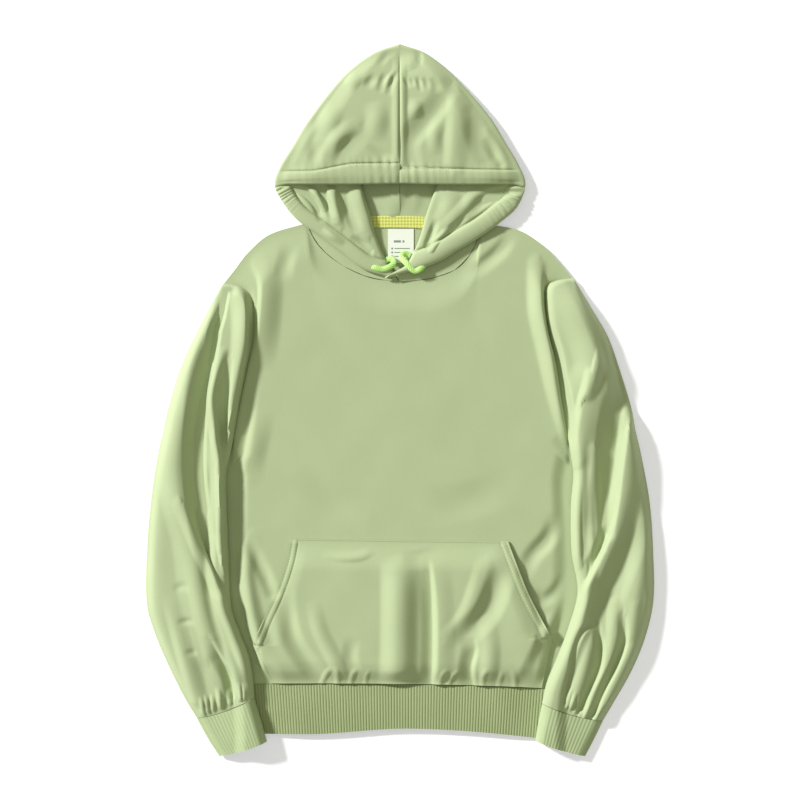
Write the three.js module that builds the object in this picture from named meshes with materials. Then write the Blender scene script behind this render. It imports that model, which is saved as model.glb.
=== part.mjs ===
import * as THREE from 'three';

// Pullover hoodie laid flat, front up, hood up, sleeves down along the sides.
// Millimetres. X is the viewer's right, Y points to the hood, Z is up off the floor.

// Cloth, seams and the heights of the layers as they lie
const CLOTH = 1.8;
const HALF = CLOTH / 2;
const SEAM = 0.3;
const TRIM = 0.9;
const FLOOR_LAYER = HALF;
const SECOND_LAYER = FLOOR_LAYER + CLOTH + SEAM;
const CHEST_LOFT = 5;
const SIDE_FLAT = 16;
const OVER_BODY = 6.3;

// Named columns for the short tables below
const table = (columns, rows) =>
  rows.map((row) => Object.fromEntries(columns.map((name, k) => [name, row[k]])));

// Seam and fold lines as they lie, each from its first to its last point
const ARMHOLE_LEFT = [
  [-238, 158], [-216, 154], [-202, 143], [-197, 123], [-198, 81], [-207, 40],
  [-216, -3], [-225, -51], [-234, -94],
];
const ARMHOLE_RIGHT = [
  [234, 165], [212, 162], [198, 154], [196, 131], [201, 92], [211, 51],
  [219, 0], [228, -51], [235, -94],
];
const SIDE_LEFT = [
  [-234, -94], [-238, -135], [-242, -189], [-242, -243], [-235, -290], [-221, -335], [-208, -383],
];
const SIDE_RIGHT = [
  [235, -94], [239, -135], [244, -189], [246, -243], [241, -290], [228, -338], [210, -390],
];
const SHOULDER_LEFT = [[-238, 158], [-223, 177], [-207, 198], [-177, 224], [-127, 240]];
const SHOULDER_RIGHT = [[111, 240], [162, 230], [196, 208], [218, 185], [234, 165]];
const NECK_LEFT = [[-127, 240], [-111, 211], [-81, 185], [-40, 166], [0, 161]];
const NECK_RIGHT = [[0, 161], [42, 165], [80, 180], [103, 211], [111, 240]];
const HEM_SEAM = [[-208, -383], [-135, -382.5], [0, -383], [130, -386], [210, -390]];
const HEM_END = [[-202, -450], [-107, -450], [0, -443], [100, -447], [204, -458]];

// Cells along each seam: both pieces of a seam share these points
const ARMHOLE_CELLS = 10;
const SIDE_CELLS = 12;
const SHOULDER_CELLS = 5;
const NECK_CELLS = 6;

// Folds: a line from its start over its bend to its end, the width on the left and on the
// right of that line, and the lift at the three points, with a trough below zero
const FOLD_COLUMNS = [
  'x0', 'y0', 'x1', 'y1', 'x2', 'y2', 'left', 'right', 'lift0', 'lift1', 'lift2',
];
const FOLD_STEPS = 8;

const FRONT_FOLDS = folds([
  [-194, 186, -183, 140, -187, 80, 26, 14, 5, 8, 3],
  [-205, -60, -208, -150, -200, -260, 22, 13, 0, 6, 4],
  [-200, -260, -190, -330, -172, -378, 24, 12, 4, 7, 2],
  [188, 186, 186, 120, 196, 60, 14, 26, 4, 7, 2],
  [210, -120, 214, -190, 212, -270, 14, 24, 0, 6, 4],
  [212, -270, 206, -320, 190, -380, 12, 24, 4, 6, 2],
  [150, 196, 120, 150, 80, 110, 30, 30, 0, 2.4, 0],
  [-160, 196, -120, 150, -90, 100, 30, 30, 0, 2.4, 0],
  [-170, -40, -120, -110, -60, -150, 30, 34, 0, 2.6, 0],
  [170, -30, 130, -110, 60, -150, 34, 30, 0, 2.2, 0],
]);

const POCKET_FOLDS = folds([
  [-112, -206, -81, -219, -47, -200, 16, 12, 0, -3, 0],
  [-148, -250, -132, -310, -76, -378, 14, 24, 0, -4.5, -2],
  [-66, -372, -40, -300, -28, -215, 26, 24, 2, 5, 0],
  [-16, -205, -2, -290, 8, -380, 22, 13, -1, -7.5, -5],
  [34, -215, 42, -300, 36, -375, 24, 26, 3, 6, 3],
  [108, -216, 88, -262, 66, -312, 16, 20, -1, -4.5, 0],
  [82, -324, 94, -350, 108, -380, 14, 14, 0, -3.5, -2],
  [150, -245, 160, -290, 168, -330, 20, 16, 0, 4, 1],
  [-70, -378, -60, -360, -58, -340, 7, 7, 2.4, 1.6, 0],
  [-48, -378, -44, -362, -40, -345, 6, 6, 2.2, 1.5, 0],
  [58, -381, 56, -366, 54, -350, 7, 7, 2.4, 1.6, 0],
  [84, -382, 82, -368, 80, -352, 6, 6, 2, 1.4, 0],
]);

const SLEEVE_LEFT_FOLDS = folds([
  [-216, 140, -213, 105, -208, 62, 20, 14, 2, 7, 3],
  [-240, 142, -258, 80, -283, -40, 26, 18, -3, -7, -6],
  [-283, -40, -292, -90, -292, -150, 24, 18, -6, -6, -2],
  [-242, 64, -258, 0, -262, -70, 16, 24, 2, 8, 8],
  [-262, -70, -263, -140, -240, -214, 16, 24, 8, 7, 4],
  [-232, 20, -242, -40, -243, -120, 15, 17, -2, -5, -2],
  [-296, -112, -296, -160, -262, -224, 26, 17, 2, 7, 6],
  [-262, -224, -228, -290, -200, -385, 24, 17, 6, 5, 1],
  [-318, -270, -300, -330, -268, -408, 20, 22, 0, 5, 1],
  [-256, -352, -246, -372, -234, -400, 16, 16, 0, -4, -3],
]);

const SLEEVE_RIGHT_FOLDS = folds([
  [222, 150, 246, 110, 260, 62, 24, 17, 2, 7, 7],
  [260, 62, 258, 14, 242, -60, 24, 17, 7, 6, 1],
  [270, 100, 280, 10, 276, -105, 24, 18, -2, -6, -5],
  [306, 0, 294, -60, 286, -135, 24, 17, 2, 6, 6],
  [284, -135, 272, -200, 240, -262, 24, 17, 6, 7, 6],
  [240, -262, 220, -326, 198, -388, 24, 17, 6, 5, 1],
  [232, -410, 242, -380, 256, -350, 14, 14, -2, -4, 0],
  [256, -418, 268, -385, 284, -345, 14, 14, -2, -4, 0],
  [328, -180, 322, -260, 306, -340, 24, 20, 0, 4, 1],
]);

const HOOD_LEFT_FOLDS = folds([
  [-2, 458, -4, 380, -4, 300, 8, 14, 2, 3.5, 3],
  [-24, 440, -18, 428, -12, 412, 7, 7, 0, -3, 0],
  [-66, 366, -68, 350, -74, 334, 16, 16, 0, -4, -1],
  [-128, 372, -130, 345, -138, 318, 13, 13, 0, 3.5, 1],
  [-100, 408, -96, 372, -106, 326, 14, 14, 0, 3, 1],
  [-34, 400, -34, 360, -40, 318, 16, 16, 0, 2.6, 0],
  [-160, 302, -140, 306, -118, 306, 8, 8, 0, -2.4, 0],
  [-58, 292, -56, 300, -52, 310, 6, 6, 1, 2, 0],
  [-36, 290, -34, 300, -30, 312, 6, 6, 1, 2, 0],
]);

const HOOD_RIGHT_FOLDS = folds([
  [4, 458, 6, 400, 6, 300, 14, 8, 0, 2, 3],
  [12, 376, 10, 350, 5, 316, 8, 12, 0, -5, -1],
  [12, 462, 20, 452, 26, 440, 7, 7, 0, -3, 0],
  [42, 418, 34, 392, 20, 362, 12, 12, 0, -4, 0],
  [66, 412, 72, 372, 70, 326, 14, 14, 0, 4, 1],
  [96, 376, 106, 350, 124, 330, 16, 18, 0, -5, -1],
  [124, 366, 134, 340, 148, 312, 11, 11, 0, 3, 1],
  [28, 290, 26, 300, 24, 312, 6, 6, 1, 2, 0],
  [46, 290, 46, 300, 44, 312, 6, 6, 1, 2, 0],
]);

const FLAP_LEFT_FOLDS = folds([
  [-104, 282, -96, 258, -86, 230, 11, 11, 0, -3.5, -1],
  [-66, 286, -62, 262, -56, 232, 10, 9, -1, -3, 0],
  [-84, 284, -78, 256, -72, 230, 10, 10, 1, 3, 0],
  [-150, 268, -110, 236, -62, 196, 6, 6, 1, 1.4, 1],
]);

const FLAP_RIGHT_FOLDS = folds([
  [116, 280, 96, 256, 70, 226, 12, 12, 1, 3, 0],
  [84, 284, 70, 256, 52, 228, 10, 11, 0, -3, 0],
  [150, 262, 112, 234, 66, 200, 6, 6, 1, 1.4, 1],
]);

// Rows of a sleeve: the station along it, its outer and inner edge as it lies, how far the row
// bows to the cuff, the loft of the upper layer and the heights of the two edges at the inside.
// The first rows open on the armhole, so their inner edge is the armhole's own point.
const SLEEVE_COLUMNS = ['station', 'outX', 'outY', 'inX', 'inY', 'bow', 'loft', 'upper', 'lower'];
const SLEEVE_LEFT = table(SLEEVE_COLUMNS, [
  [0, -240.5, 154.5, -238, 158, 0, 1, 3.6, 0.9],
  [2, -258, 122, -213, 152, 0, 9, 4, 0.9],
  [4, -279, 81, -197, 105, 0, 13, 4, 0.9],
  [6, -297, 40, -207, 38, 0, 14, 4, 0.9],
  [8, -312, -10, -220, -28, 0, 13, 5.4, 1.6],
  [9, -318, -38, -227, -60, 0, 12, 8.4, 5.2],
  [10, -325, -68, -234.4, -94, 0, 12, 7.6, 7.6],
  [12, -335, -132, -234, -146, 0, 12, 7.6, 7.6],
  [15, -341, -205, -231.5, -215, 0, 12, 7.6, 7.6],
  [18, -341, -275, -228, -279, 4, 12, 7.6, 7.6],
  [20, -329, -317, -216, -315, 6, 12, 7.6, 7.6],
  [22, -311, -359, -204, -346, 8, 11, 7.6, 7.6],
  [24, -289, -403, -198.5, -378, 8, 9, 7.6, 7.6],
  [25, -273.5, -428.5, -197, -400.5, 4, 7, 7.6, 7.6],
]);
const SLEEVE_RIGHT = table(SLEEVE_COLUMNS, [
  [0, 236.5, 161.5, 234, 165, 0, 1, 3.6, 0.9],
  [2, 258, 126, 209, 160, 0, 9, 4, 0.9],
  [4, 281, 86, 196, 118, 0, 13, 4, 0.9],
  [6, 298, 38, 208, 60, 0, 14, 4, 0.9],
  [8, 313, -12, 222, -28, 0, 13, 5.4, 1.6],
  [9, 318, -40, 229, -60, 0, 12, 8.4, 5.2],
  [10, 325, -70, 235.4, -94, 0, 12, 7.6, 7.6],
  [12, 337, -136, 232, -142, 0, 12, 7.6, 7.6],
  [15, 342, -208, 233, -205, 0, 12, 7.6, 7.6],
  [18, 342, -272, 241, -259, 4, 12, 7.6, 7.6],
  [20, 331, -320, 228, -308, 6, 12, 7.6, 7.6],
  [22, 313, -364, 213, -347, 8, 11, 7.6, 7.6],
  [24, 290, -405, 199, -382, 8, 9, 7.6, 7.6],
  [25, 274, -432, 193, -408.5, 4, 7, 7.6, 7.6],
]);
const SLEEVE_ROWS = 25;
const SLEEVE_UPPER_CELLS = 12;
const SLEEVE_LOWER_CELLS = 8;
const SLEEVE_ROUND = 8;
const SEAM_RISE = 22;

// Cuffs: the same columns, with straight ribs along them
const CUFF_COLUMNS = ['station', 'outX', 'outY', 'inX', 'inY', 'bow', 'loft', 'upper', 'lower'];
const CUFF_LEFT = table(CUFF_COLUMNS, [
  [0, -273.4, -429.2, -197.2, -401.2, 4, 6, 7.6, 7.6],
  [1.5, -258, -457, -188, -432, 3, 6.4, 7.6, 7.6],
  [3, -243, -480, -180, -460, 2, 6, 7.6, 7.6],
]);
const CUFF_RIGHT = table(CUFF_COLUMNS, [
  [0, 273.8, -432.7, 193.2, -409.2, 4, 6, 7.6, 7.6],
  [1.5, 262, -457, 188, -434, 3, 6.4, 7.6, 7.6],
  [3, 250, -480, 184, -459, 2, 6, 7.6, 7.6],
]);
const CUFF_ROWS = 3;
const CUFF_RIBS = 17;
const RIB_HEIGHT = 0.5;

// Hem rib
const HEM_RIBS = 108;
const HEM_ROWS = 1;
const HEM_LOFT = 4.4;

// Rows of a hood panel from the crown to the neck: the forehead side, the outer edge as it lies,
// the fold of the turned front edge, the turn to the layer below, and the lower centre seam.
// Rows past the forehead have no forehead side.
const HOOD_COLUMNS = [
  'station', 'openX', 'openY', 'edgeX', 'edgeY', 'foldX', 'foldY', 'turnX', 'turnY', 'seamX', 'seamY',
];
const HOOD_LEFT = table(HOOD_COLUMNS, [
  [0, -0.2, 468, -0.2, 481.7, -0.2, 477, -0.2, 473, -0.2, 468],
  [2, -0.2, 448, -37, 468, -30, 464, -22, 458, -0.2, 446],
  [4, -0.2, 422, -76, 437, -62, 433, -46, 428, -0.2, 420],
  [7, -0.2, 378, -121, 380, -96, 378, -98, 379, -0.2, 382],
  [9, -0.2, 347, -143, 344, -80, 356, -128, 346, -0.2, 360],
  [11, -0.2, 317, -161, 316, -62, 326, -154, 317, -0.2, 338],
  [13, -0.2, 288, -169, 290, -54, 297, -164, 291, -0.2, 316],
  [15, 0, 0, -157, 268, -48, 276, -156, 271, -0.2, 296],
  [17, 0, 0, -138, 245, -40, 250, -143, 252, -0.2, 276],
  [19, 0, 0, -108, 223, -35, 229, -131.5, 246.5, -0.2, 260],
  [21, 0, 0, -79, 201, -28, 208, -127, 244, -0.2, 249],
  [23, 0, 0, -46, 177, -18, 186, -124.5, 243.2, -0.2, 243],
  [24, 0, 0, -15, 167, -5, 168, -125, 240.9, -0.2, 240.5],
]);
const HOOD_RIGHT = table(HOOD_COLUMNS, [
  [0, 0.2, 468, 0.2, 481.7, 0.2, 477, 0.2, 473, 0.2, 468],
  [2, 0.2, 448, 37, 468, 30, 464, 22, 458, 0.2, 446],
  [4, 0.2, 422, 74, 437, 62, 433, 46, 428, 0.2, 420],
  [7, 0.2, 378, 120, 384, 96, 378, 98, 379, 0.2, 382],
  [9, 0.2, 347, 143, 347, 80, 356, 128, 348, 0.2, 360],
  [11, 0.2, 317, 161, 317, 62, 326, 154, 318, 0.2, 338],
  [13, 0.2, 288, 170, 290, 53, 297, 165, 291, 0.2, 316],
  [15, 0, 0, 158, 262, 43, 270, 157, 268, 0.2, 296],
  [17, 0, 0, 136, 242, 35, 246, 138, 250, 0.2, 276],
  [19, 0, 0, 110, 223, 29, 224, 117, 247, 0.2, 260],
  [21, 0, 0, 80, 205, 20, 202, 110, 244, 0.2, 249],
  [23, 0, 0, 42, 184, 8, 182, 107.5, 243.4, 0.2, 243],
  [24, 0, 0, -20, 166, -7, 173, 109, 240.9, 0.2, 240.5],
]);
const HOOD_ROWS = 24;
const FOREHEAD_ROW = 13;
const HOOD_UPPER_CELLS = 9;
const HOOD_FLAP_CELLS = 7;
const HOOD_LOWER_CELLS = 5;
const HOOD_ROUND = 4;

// Heights of the hood's four layers at its outer side and how high the upper two stand inside
const HOOD_LAYERS = { lower: 0.9, middle: 4.2, flap: 7.6, upper: 11.2 };
const FLAP_LOFT = 3.5;
const CROWN_LOFT = 7;
const CROSSING_LIFT = 3.6;

// Kangaroo pocket: corners of its outline, and how far it stands off the front panel
const POCKET_LEFT = [[-144, -185], [-153, -216], [-165, -256], [-181, -294], [-197, -331]];
const POCKET_LEFT_LOW = [[-197, -331], [-186, -356], [-174, -381.8]];
const POCKET_RIGHT = [[146, -189], [158, -221], [173, -259], [189, -290], [205, -319]];
const POCKET_RIGHT_LOW = [[205, -319], [199, -352], [192, -387.9]];
const POCKET_COLUMNS = 20;
const POCKET_OPEN_ROWS = 8;
const POCKET_LOW_ROWS = 4;
const POCKET_STAND = CLOTH + SEAM + 0.5;
const POCKET_LOFT = 3.5;

// Neck tape, size label and drawstring
const TAPE_LINE = [[-70, 239.5], [-30, 242], [20, 241.5], [64, 239]];
const TAPE_WIDTH = 16;
const LABEL = { x: 1.5, top: 230, width: 35, length: 45 };
const CORD_WIDTH = 8;
const CORD_THICK = 4;
const CORD_SIDES = 10;
const CORD_LEFT_PATH = [
  [-39.5, 183.6, 12.7], [-34, 180.2, 12.95], [-23.5, 177.4, 12.5], [-14.3, 180.2, 12.1], [-7.9, 185.8, 9.6],
  [-9.8, 191.2, 7.1], [-15.2, 190.8, 6.2], [-17.6, 190.4, 6.1],
];
const CORD_RIGHT_PATH = [
  [32.5, 183.2, 15.35], [28.4, 178.4, 15.7], [21.3, 175, 15.2], [15.3, 178.1, 15.7], [10.5, 184.1, 15.3],
  [5.9, 188.9, 13.4], [3, 194, 10.6], [5.2, 198.6, 8], [10.5, 198, 6.4], [14.6, 196.6, 6.1],
];
const CORD_STEPS = 26;

// Colours
const FLEECE = { color: 0xb4c693, roughness: 0.93, metalness: 0 };
const RIB = { color: 0xa3b37c, roughness: 0.92, metalness: 0 };
const TAPE = { color: 0xd8de7c, roughness: 0.85, metalness: 0 };
const SATIN = { color: 0xe4ebe0, roughness: 0.55, metalness: 0 };
const BRAID = { color: 0x9edc50, roughness: 0.75, metalness: 0 };

// Small helpers

function clamp(value, low, high) {
  return Math.min(Math.max(value, low), high);
}

function smooth(value) {
  const t = clamp(value, 0, 1);
  return t * t * (3 - 2 * t);
}

// Quarter round: 0 at the edge, 1 at one radius in
function rounded(value) {
  const q = 1 - clamp(value, 0, 1);
  return Math.sqrt(1 - q * q);
}

// Point at a share of a smooth line through the given points, measured along its chords
function along(points, share) {
  const knots = [0];
  for (let k = 1; k < points.length; k += 1) {
    const step = Math.hypot(points[k][0] - points[k - 1][0], points[k][1] - points[k - 1][1]);
    knots.push(knots[k - 1] + Math.max(step, 1e-6));
  }
  return hermite(knots, points, share * knots[knots.length - 1]);
}

// Value of a smooth line through values held at rising knots
function hermite(knots, values, at) {
  const last = knots.length - 1;
  let k = 0;
  while (k < last - 1 && at > knots[k + 1]) k += 1;
  const span = knots[k + 1] - knots[k];
  const t = clamp((at - knots[k]) / span, 0, 1);
  const slope = (i, d) => {
    const before = Math.max(i - 1, 0);
    const after = Math.min(i + 1, last);
    return (values[after][d] - values[before][d]) / (knots[after] - knots[before]);
  };
  return values[k].map((start, d) => {
    const end = values[k + 1][d];
    const t2 = t * t;
    const t3 = t2 * t;
    return (2 * t3 - 3 * t2 + 1) * start + (t3 - 2 * t2 + t) * span * slope(k, d)
      + (3 * t2 - 2 * t3) * end + (t3 - t2) * span * slope(k + 1, d);
  });
}

// Row of a table at a station between its rows
function rowAt(rows, station) {
  const names = Object.keys(rows[0]);
  const values = hermite(rows.map((row) => row.station), rows.map((row) => names.map((n) => row[n])), station);
  return Object.fromEntries(names.map((name, k) => [name, values[k]]));
}

function folds(rows) {
  return table(FOLD_COLUMNS, rows).map((fold) => {
    const ends = [[fold.x0, fold.y0], [fold.x1, fold.y1], [fold.x2, fold.y2]];
    const path = Array.from({ length: FOLD_STEPS + 1 }, (_, k) => along(ends, k / FOLD_STEPS));
    return { ...fold, path };
  });
}

// Lift of all the folds of a panel at a place on it
function foldLift(foldList, x, y) {
  let lift = 0;
  for (const fold of foldList) {
    let best = { distance: Infinity, side: 0, share: 0 };
    for (let k = 0; k < FOLD_STEPS; k += 1) {
      const [ax, ay] = fold.path[k];
      const [bx, by] = fold.path[k + 1];
      const dx = bx - ax;
      const dy = by - ay;
      const t = clamp(((x - ax) * dx + (y - ay) * dy) / (dx * dx + dy * dy), 0, 1);
      const distance = Math.hypot(x - ax - t * dx, y - ay - t * dy);
      if (distance < best.distance) {
        best = { distance, side: dx * (y - ay) - dy * (x - ax), share: (k + t) / FOLD_STEPS };
      }
    }
    const width = best.side > 0 ? fold.left : fold.right;
    if (best.distance < width) {
      const fall = 1 - (best.distance / width) ** 2;
      const half = best.share * 2;
      const height = half < 1
        ? fold.lift0 + (fold.lift1 - fold.lift0) * smooth(half)
        : fold.lift1 + (fold.lift2 - fold.lift1) * smooth(half - 1);
      lift += height * fall * fall;
    }
  }
  return lift;
}

// A wall of cloth on a grid of middle points. The outer points stand half a cloth out along the
// normal, the inner points half a cloth in, and every open edge is closed by a rim.
function wall(grid, { half = HALF, flip = false, settle = () => {}, raise = () => 0 } = {}) {
  const { points, quads, places } = grid;
  const faces = flip ? quads.map(([a, b, c, d]) => [d, c, b, a]) : quads;
  const normals = points.map(() => new THREE.Vector3());
  const corner = points.map((p) => new THREE.Vector3(...p));
  for (const [a, b, c, d] of faces) {
    const one = corner[c].clone().sub(corner[a]);
    const two = corner[d].clone().sub(corner[b]);
    const normal = one.cross(two);
    for (const index of [a, b, c, d]) normals[index].add(normal);
  }
  const outer = [];
  const inner = [];
  points.forEach((point, index) => {
    const normal = normals[index].normalize();
    settle(normal, places[index]);
    outer.push(corner[index].clone().addScaledVector(normal, half + raise(places[index])));
    inner.push(corner[index].clone().addScaledVector(normal, -half));
  });
  const count = points.length;
  const triangles = [];
  const edges = new Map();
  for (const [a, b, c, d] of faces) {
    triangles.push(a, b, c, a, c, d);
    triangles.push(count + a, count + c, count + b, count + a, count + d, count + c);
    for (const [from, to] of [[a, b], [b, c], [c, d], [d, a]]) {
      const back = `${to}_${from}`;
      if (edges.has(back)) edges.delete(back);
      else edges.set(`${from}_${to}`, [from, to]);
    }
  }
  for (const [from, to] of edges.values()) {
    triangles.push(to, from, count + from, to, count + from, count + to);
  }
  const geometry = new THREE.BufferGeometry();
  const positions = [...outer, ...inner].flatMap((p) => [p.x, p.y, p.z]);
  geometry.setAttribute('position', new THREE.Float32BufferAttribute(positions, 3));
  geometry.setIndex(triangles);
  return geometry;
}

// At a seam the wall is cut straight down
function cutDown(normal) {
  normal.set(0, 0, normal.z < 0 ? -1 : 1);
}

// Grid of middle points. Cells that keep refuses are left out; a closed row joins its two ends.
function sheet(columns, rows, place, { keep = () => true, closed = () => false } = {}) {
  const points = [];
  const places = [];
  const quads = [];
  const seen = new Map();
  const index = (i, j) => {
    const column = i === columns && closed(j) ? 0 : i;
    const key = `${column}_${j}`;
    if (!seen.has(key)) {
      seen.set(key, points.length);
      points.push(place(column, j));
      places.push({ column, row: j });
    }
    return seen.get(key);
  };
  for (let j = 0; j < rows; j += 1) {
    for (let i = 0; i < columns; i += 1) {
      if (keep(i, j)) quads.push([index(i, j), index(i, j + 1), index(i + 1, j + 1), index(i + 1, j)]);
    }
  }
  return { points, quads, places };
}

// Point of a line moved sideways, to the right of its own direction
function beside(points, share, away) {
  const [x, y] = along(points, share);
  const [ax, ay] = along(points, clamp(share - 0.01, 0, 1));
  const [bx, by] = along(points, clamp(share + 0.01, 0, 1));
  const length = Math.hypot(bx - ax, by - ay);
  return [x + (by - ay) / length * away, y - (bx - ax) / length * away];
}

// Panel between four lines. Each side line only shifts the panel up to its reach.
function between(top, bottom, left, right, reach) {
  const ruled = (u, v, d) => (1 - v) * top(u)[d] + v * bottom(u)[d];
  return (u, v) => {
    const nearLeft = clamp(1 - u / reach, 0, 1) ** 2;
    const nearRight = clamp(1 - (1 - u) / reach, 0, 1) ** 2;
    return [0, 1].map((d) => ruled(u, v, d)
      + nearLeft * (left(v)[d] - ruled(0, v, d))
      + nearRight * (right(v)[d] - ruled(1, v, d)));
  };
}

// Body

const BODY_ROWS = ARMHOLE_CELLS + SIDE_CELLS;
const BODY_COLUMNS = 2 * SHOULDER_CELLS + 2 * NECK_CELLS;
const ARMHOLE_SHARE = 0.42;
const SHOULDER_SHARE = 0.25;

function bodySide(armhole, side, inward) {
  return (v) => (v <= ARMHOLE_SHARE
    ? beside(armhole, v / ARMHOLE_SHARE, inward)
    : beside(side, (v - ARMHOLE_SHARE) / (1 - ARMHOLE_SHARE), inward));
}

function rowShare(j) {
  return j <= ARMHOLE_CELLS
    ? ARMHOLE_SHARE * j / ARMHOLE_CELLS
    : ARMHOLE_SHARE + (1 - ARMHOLE_SHARE) * (j - ARMHOLE_CELLS) / SIDE_CELLS;
}

function columnShare(i) {
  if (i <= SHOULDER_CELLS) return SHOULDER_SHARE * i / SHOULDER_CELLS;
  if (i >= BODY_COLUMNS - SHOULDER_CELLS) {
    return 1 - SHOULDER_SHARE * (BODY_COLUMNS - i) / SHOULDER_CELLS;
  }
  return SHOULDER_SHARE + (1 - 2 * SHOULDER_SHARE) * (i - SHOULDER_CELLS) / (2 * NECK_CELLS);
}

function frontTop(u) {
  if (u < SHOULDER_SHARE) return along(SHOULDER_LEFT, u / SHOULDER_SHARE);
  if (u > 1 - SHOULDER_SHARE) return along(SHOULDER_RIGHT, (u - 1 + SHOULDER_SHARE) / SHOULDER_SHARE);
  const neck = (u - SHOULDER_SHARE) / (1 - 2 * SHOULDER_SHARE) * 2;
  return neck < 1 ? along(NECK_LEFT, neck) : along(NECK_RIGHT, neck - 1);
}

const LEFT_BORDER = bodySide(ARMHOLE_LEFT, SIDE_LEFT, -SEAM);
const RIGHT_BORDER = bodySide(ARMHOLE_RIGHT, SIDE_RIGHT, SEAM);
const hemSeam = (u) => along(HEM_SEAM, u);
const SIDE_REACH = 0.35;
const frontPlan = between(frontTop, hemSeam, LEFT_BORDER, RIGHT_BORDER, SIDE_REACH);

// Height of the neck seam from the shoulder to the middle of the front
function neckHeight(share) {
  return SECOND_LAYER + 2.4 * smooth(share * 1.6);
}

// Height of the front panel's middle surface
function frontHeight(u, v, x, y) {
  const width = 460;
  const length = 540;
  const neckShare = clamp((0.5 - Math.abs(u - 0.5) - SHOULDER_SHARE) / (0.5 - SHOULDER_SHARE), 0, 1);
  const topHeight = neckHeight(neckShare);
  const armholeHeight = SECOND_LAYER + 1 * Math.sin(Math.PI * clamp(v / ARMHOLE_SHARE, 0, 1));
  const bottomHeight = SECOND_LAYER + 1.6 * Math.sin(Math.PI * u);
  const sideways = Math.min(u, 1 - u) * width;
  const flat = SIDE_FLAT * smooth((v - ARMHOLE_SHARE * 0.8) / (ARMHOLE_SHARE * 0.4));
  const inFromSide = Math.max(sideways - flat, 0);
  const sideRise = v < ARMHOLE_SHARE ? rounded(inFromSide / 20) : smooth(inFromSide / 34);
  const topRise = smooth(v * length / 46);
  const bottomRise = smooth((1 - v) * length / 30);
  const edge = Math.min(u, 1 - u) * 2;
  const border = armholeHeight * (1 - smooth(edge * 4))
    + (topHeight * (1 - smooth(v * 4)) + bottomHeight * smooth(v * 4)) * smooth(edge * 4);
  const rise = sideRise * topRise * bottomRise;
  return border + rise * (CHEST_LOFT + foldLift(FRONT_FOLDS, x, y));
}

function bodyFront() {
  const grid = sheet(BODY_COLUMNS, BODY_ROWS, (i, j) => {
    const u = columnShare(i);
    const v = rowShare(j);
    const [x, y] = frontPlan(u, v);
    return [x, y, frontHeight(u, v, x, y)];
  });
  const rim = ({ column, row }) => column === 0 || column === BODY_COLUMNS || row === 0 || row === BODY_ROWS;
  return wall(grid, { settle: (normal, place) => rim(place) && cutDown(normal) });
}

// The back lies flat on the floor: its outline, cut from one cloth
function bodyBack() {
  const outline = [];
  for (let i = 1; i <= SHOULDER_CELLS; i += 1) outline.push(along(SHOULDER_LEFT, i / SHOULDER_CELLS));
  for (let i = 0; i < SHOULDER_CELLS; i += 1) outline.push(along(SHOULDER_RIGHT, i / SHOULDER_CELLS));
  for (let j = 0; j <= BODY_ROWS; j += 1) outline.push(RIGHT_BORDER(rowShare(j)));
  for (let i = BODY_COLUMNS - 1; i > 0; i -= 1) outline.push(hemSeam(columnShare(i)));
  for (let j = BODY_ROWS; j >= 0; j -= 1) outline.push(LEFT_BORDER(rowShare(j)));
  const shape = new THREE.Shape(outline.map(([x, y]) => new THREE.Vector2(x, y)));
  return new THREE.ExtrudeGeometry(shape, { depth: CLOTH, bevelEnabled: false });
}

// Sleeves, cuffs and hem: flattened tubes of cloth

// Shares across a row with close points at the rounded edges
function acrossShares(cells, round, width) {
  const near = Math.min(round / width, 0.3);
  const inside = cells - 4;
  const shares = [0, near * 0.3];
  for (let k = 0; k <= inside; k += 1) shares.push(near + (1 - 2 * near) * k / inside);
  return [...shares, 1 - near * 0.3, 1];
}

// Height of a tube's lower layer: on the floor, and over the body's edge where it lies on it
function lowerHeight(x, y, armpitY) {
  const left = x < 0;
  const side = left ? [...SIDE_LEFT, HEM_END[0]] : [...SIDE_RIGHT, HEM_END[HEM_END.length - 1]];
  const knots = side.map((p) => -p[1]);
  const edge = hermite(knots, side.map((p) => [p[0]]), clamp(-y, knots[0], knots[knots.length - 1]))[0];
  const inside = left ? x - edge : edge - x;
  return FLOOR_LAYER + (OVER_BODY - FLOOR_LAYER) * smooth((inside + 22) / 18) * smooth((armpitY + 60 - y) / 50);
}

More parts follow.
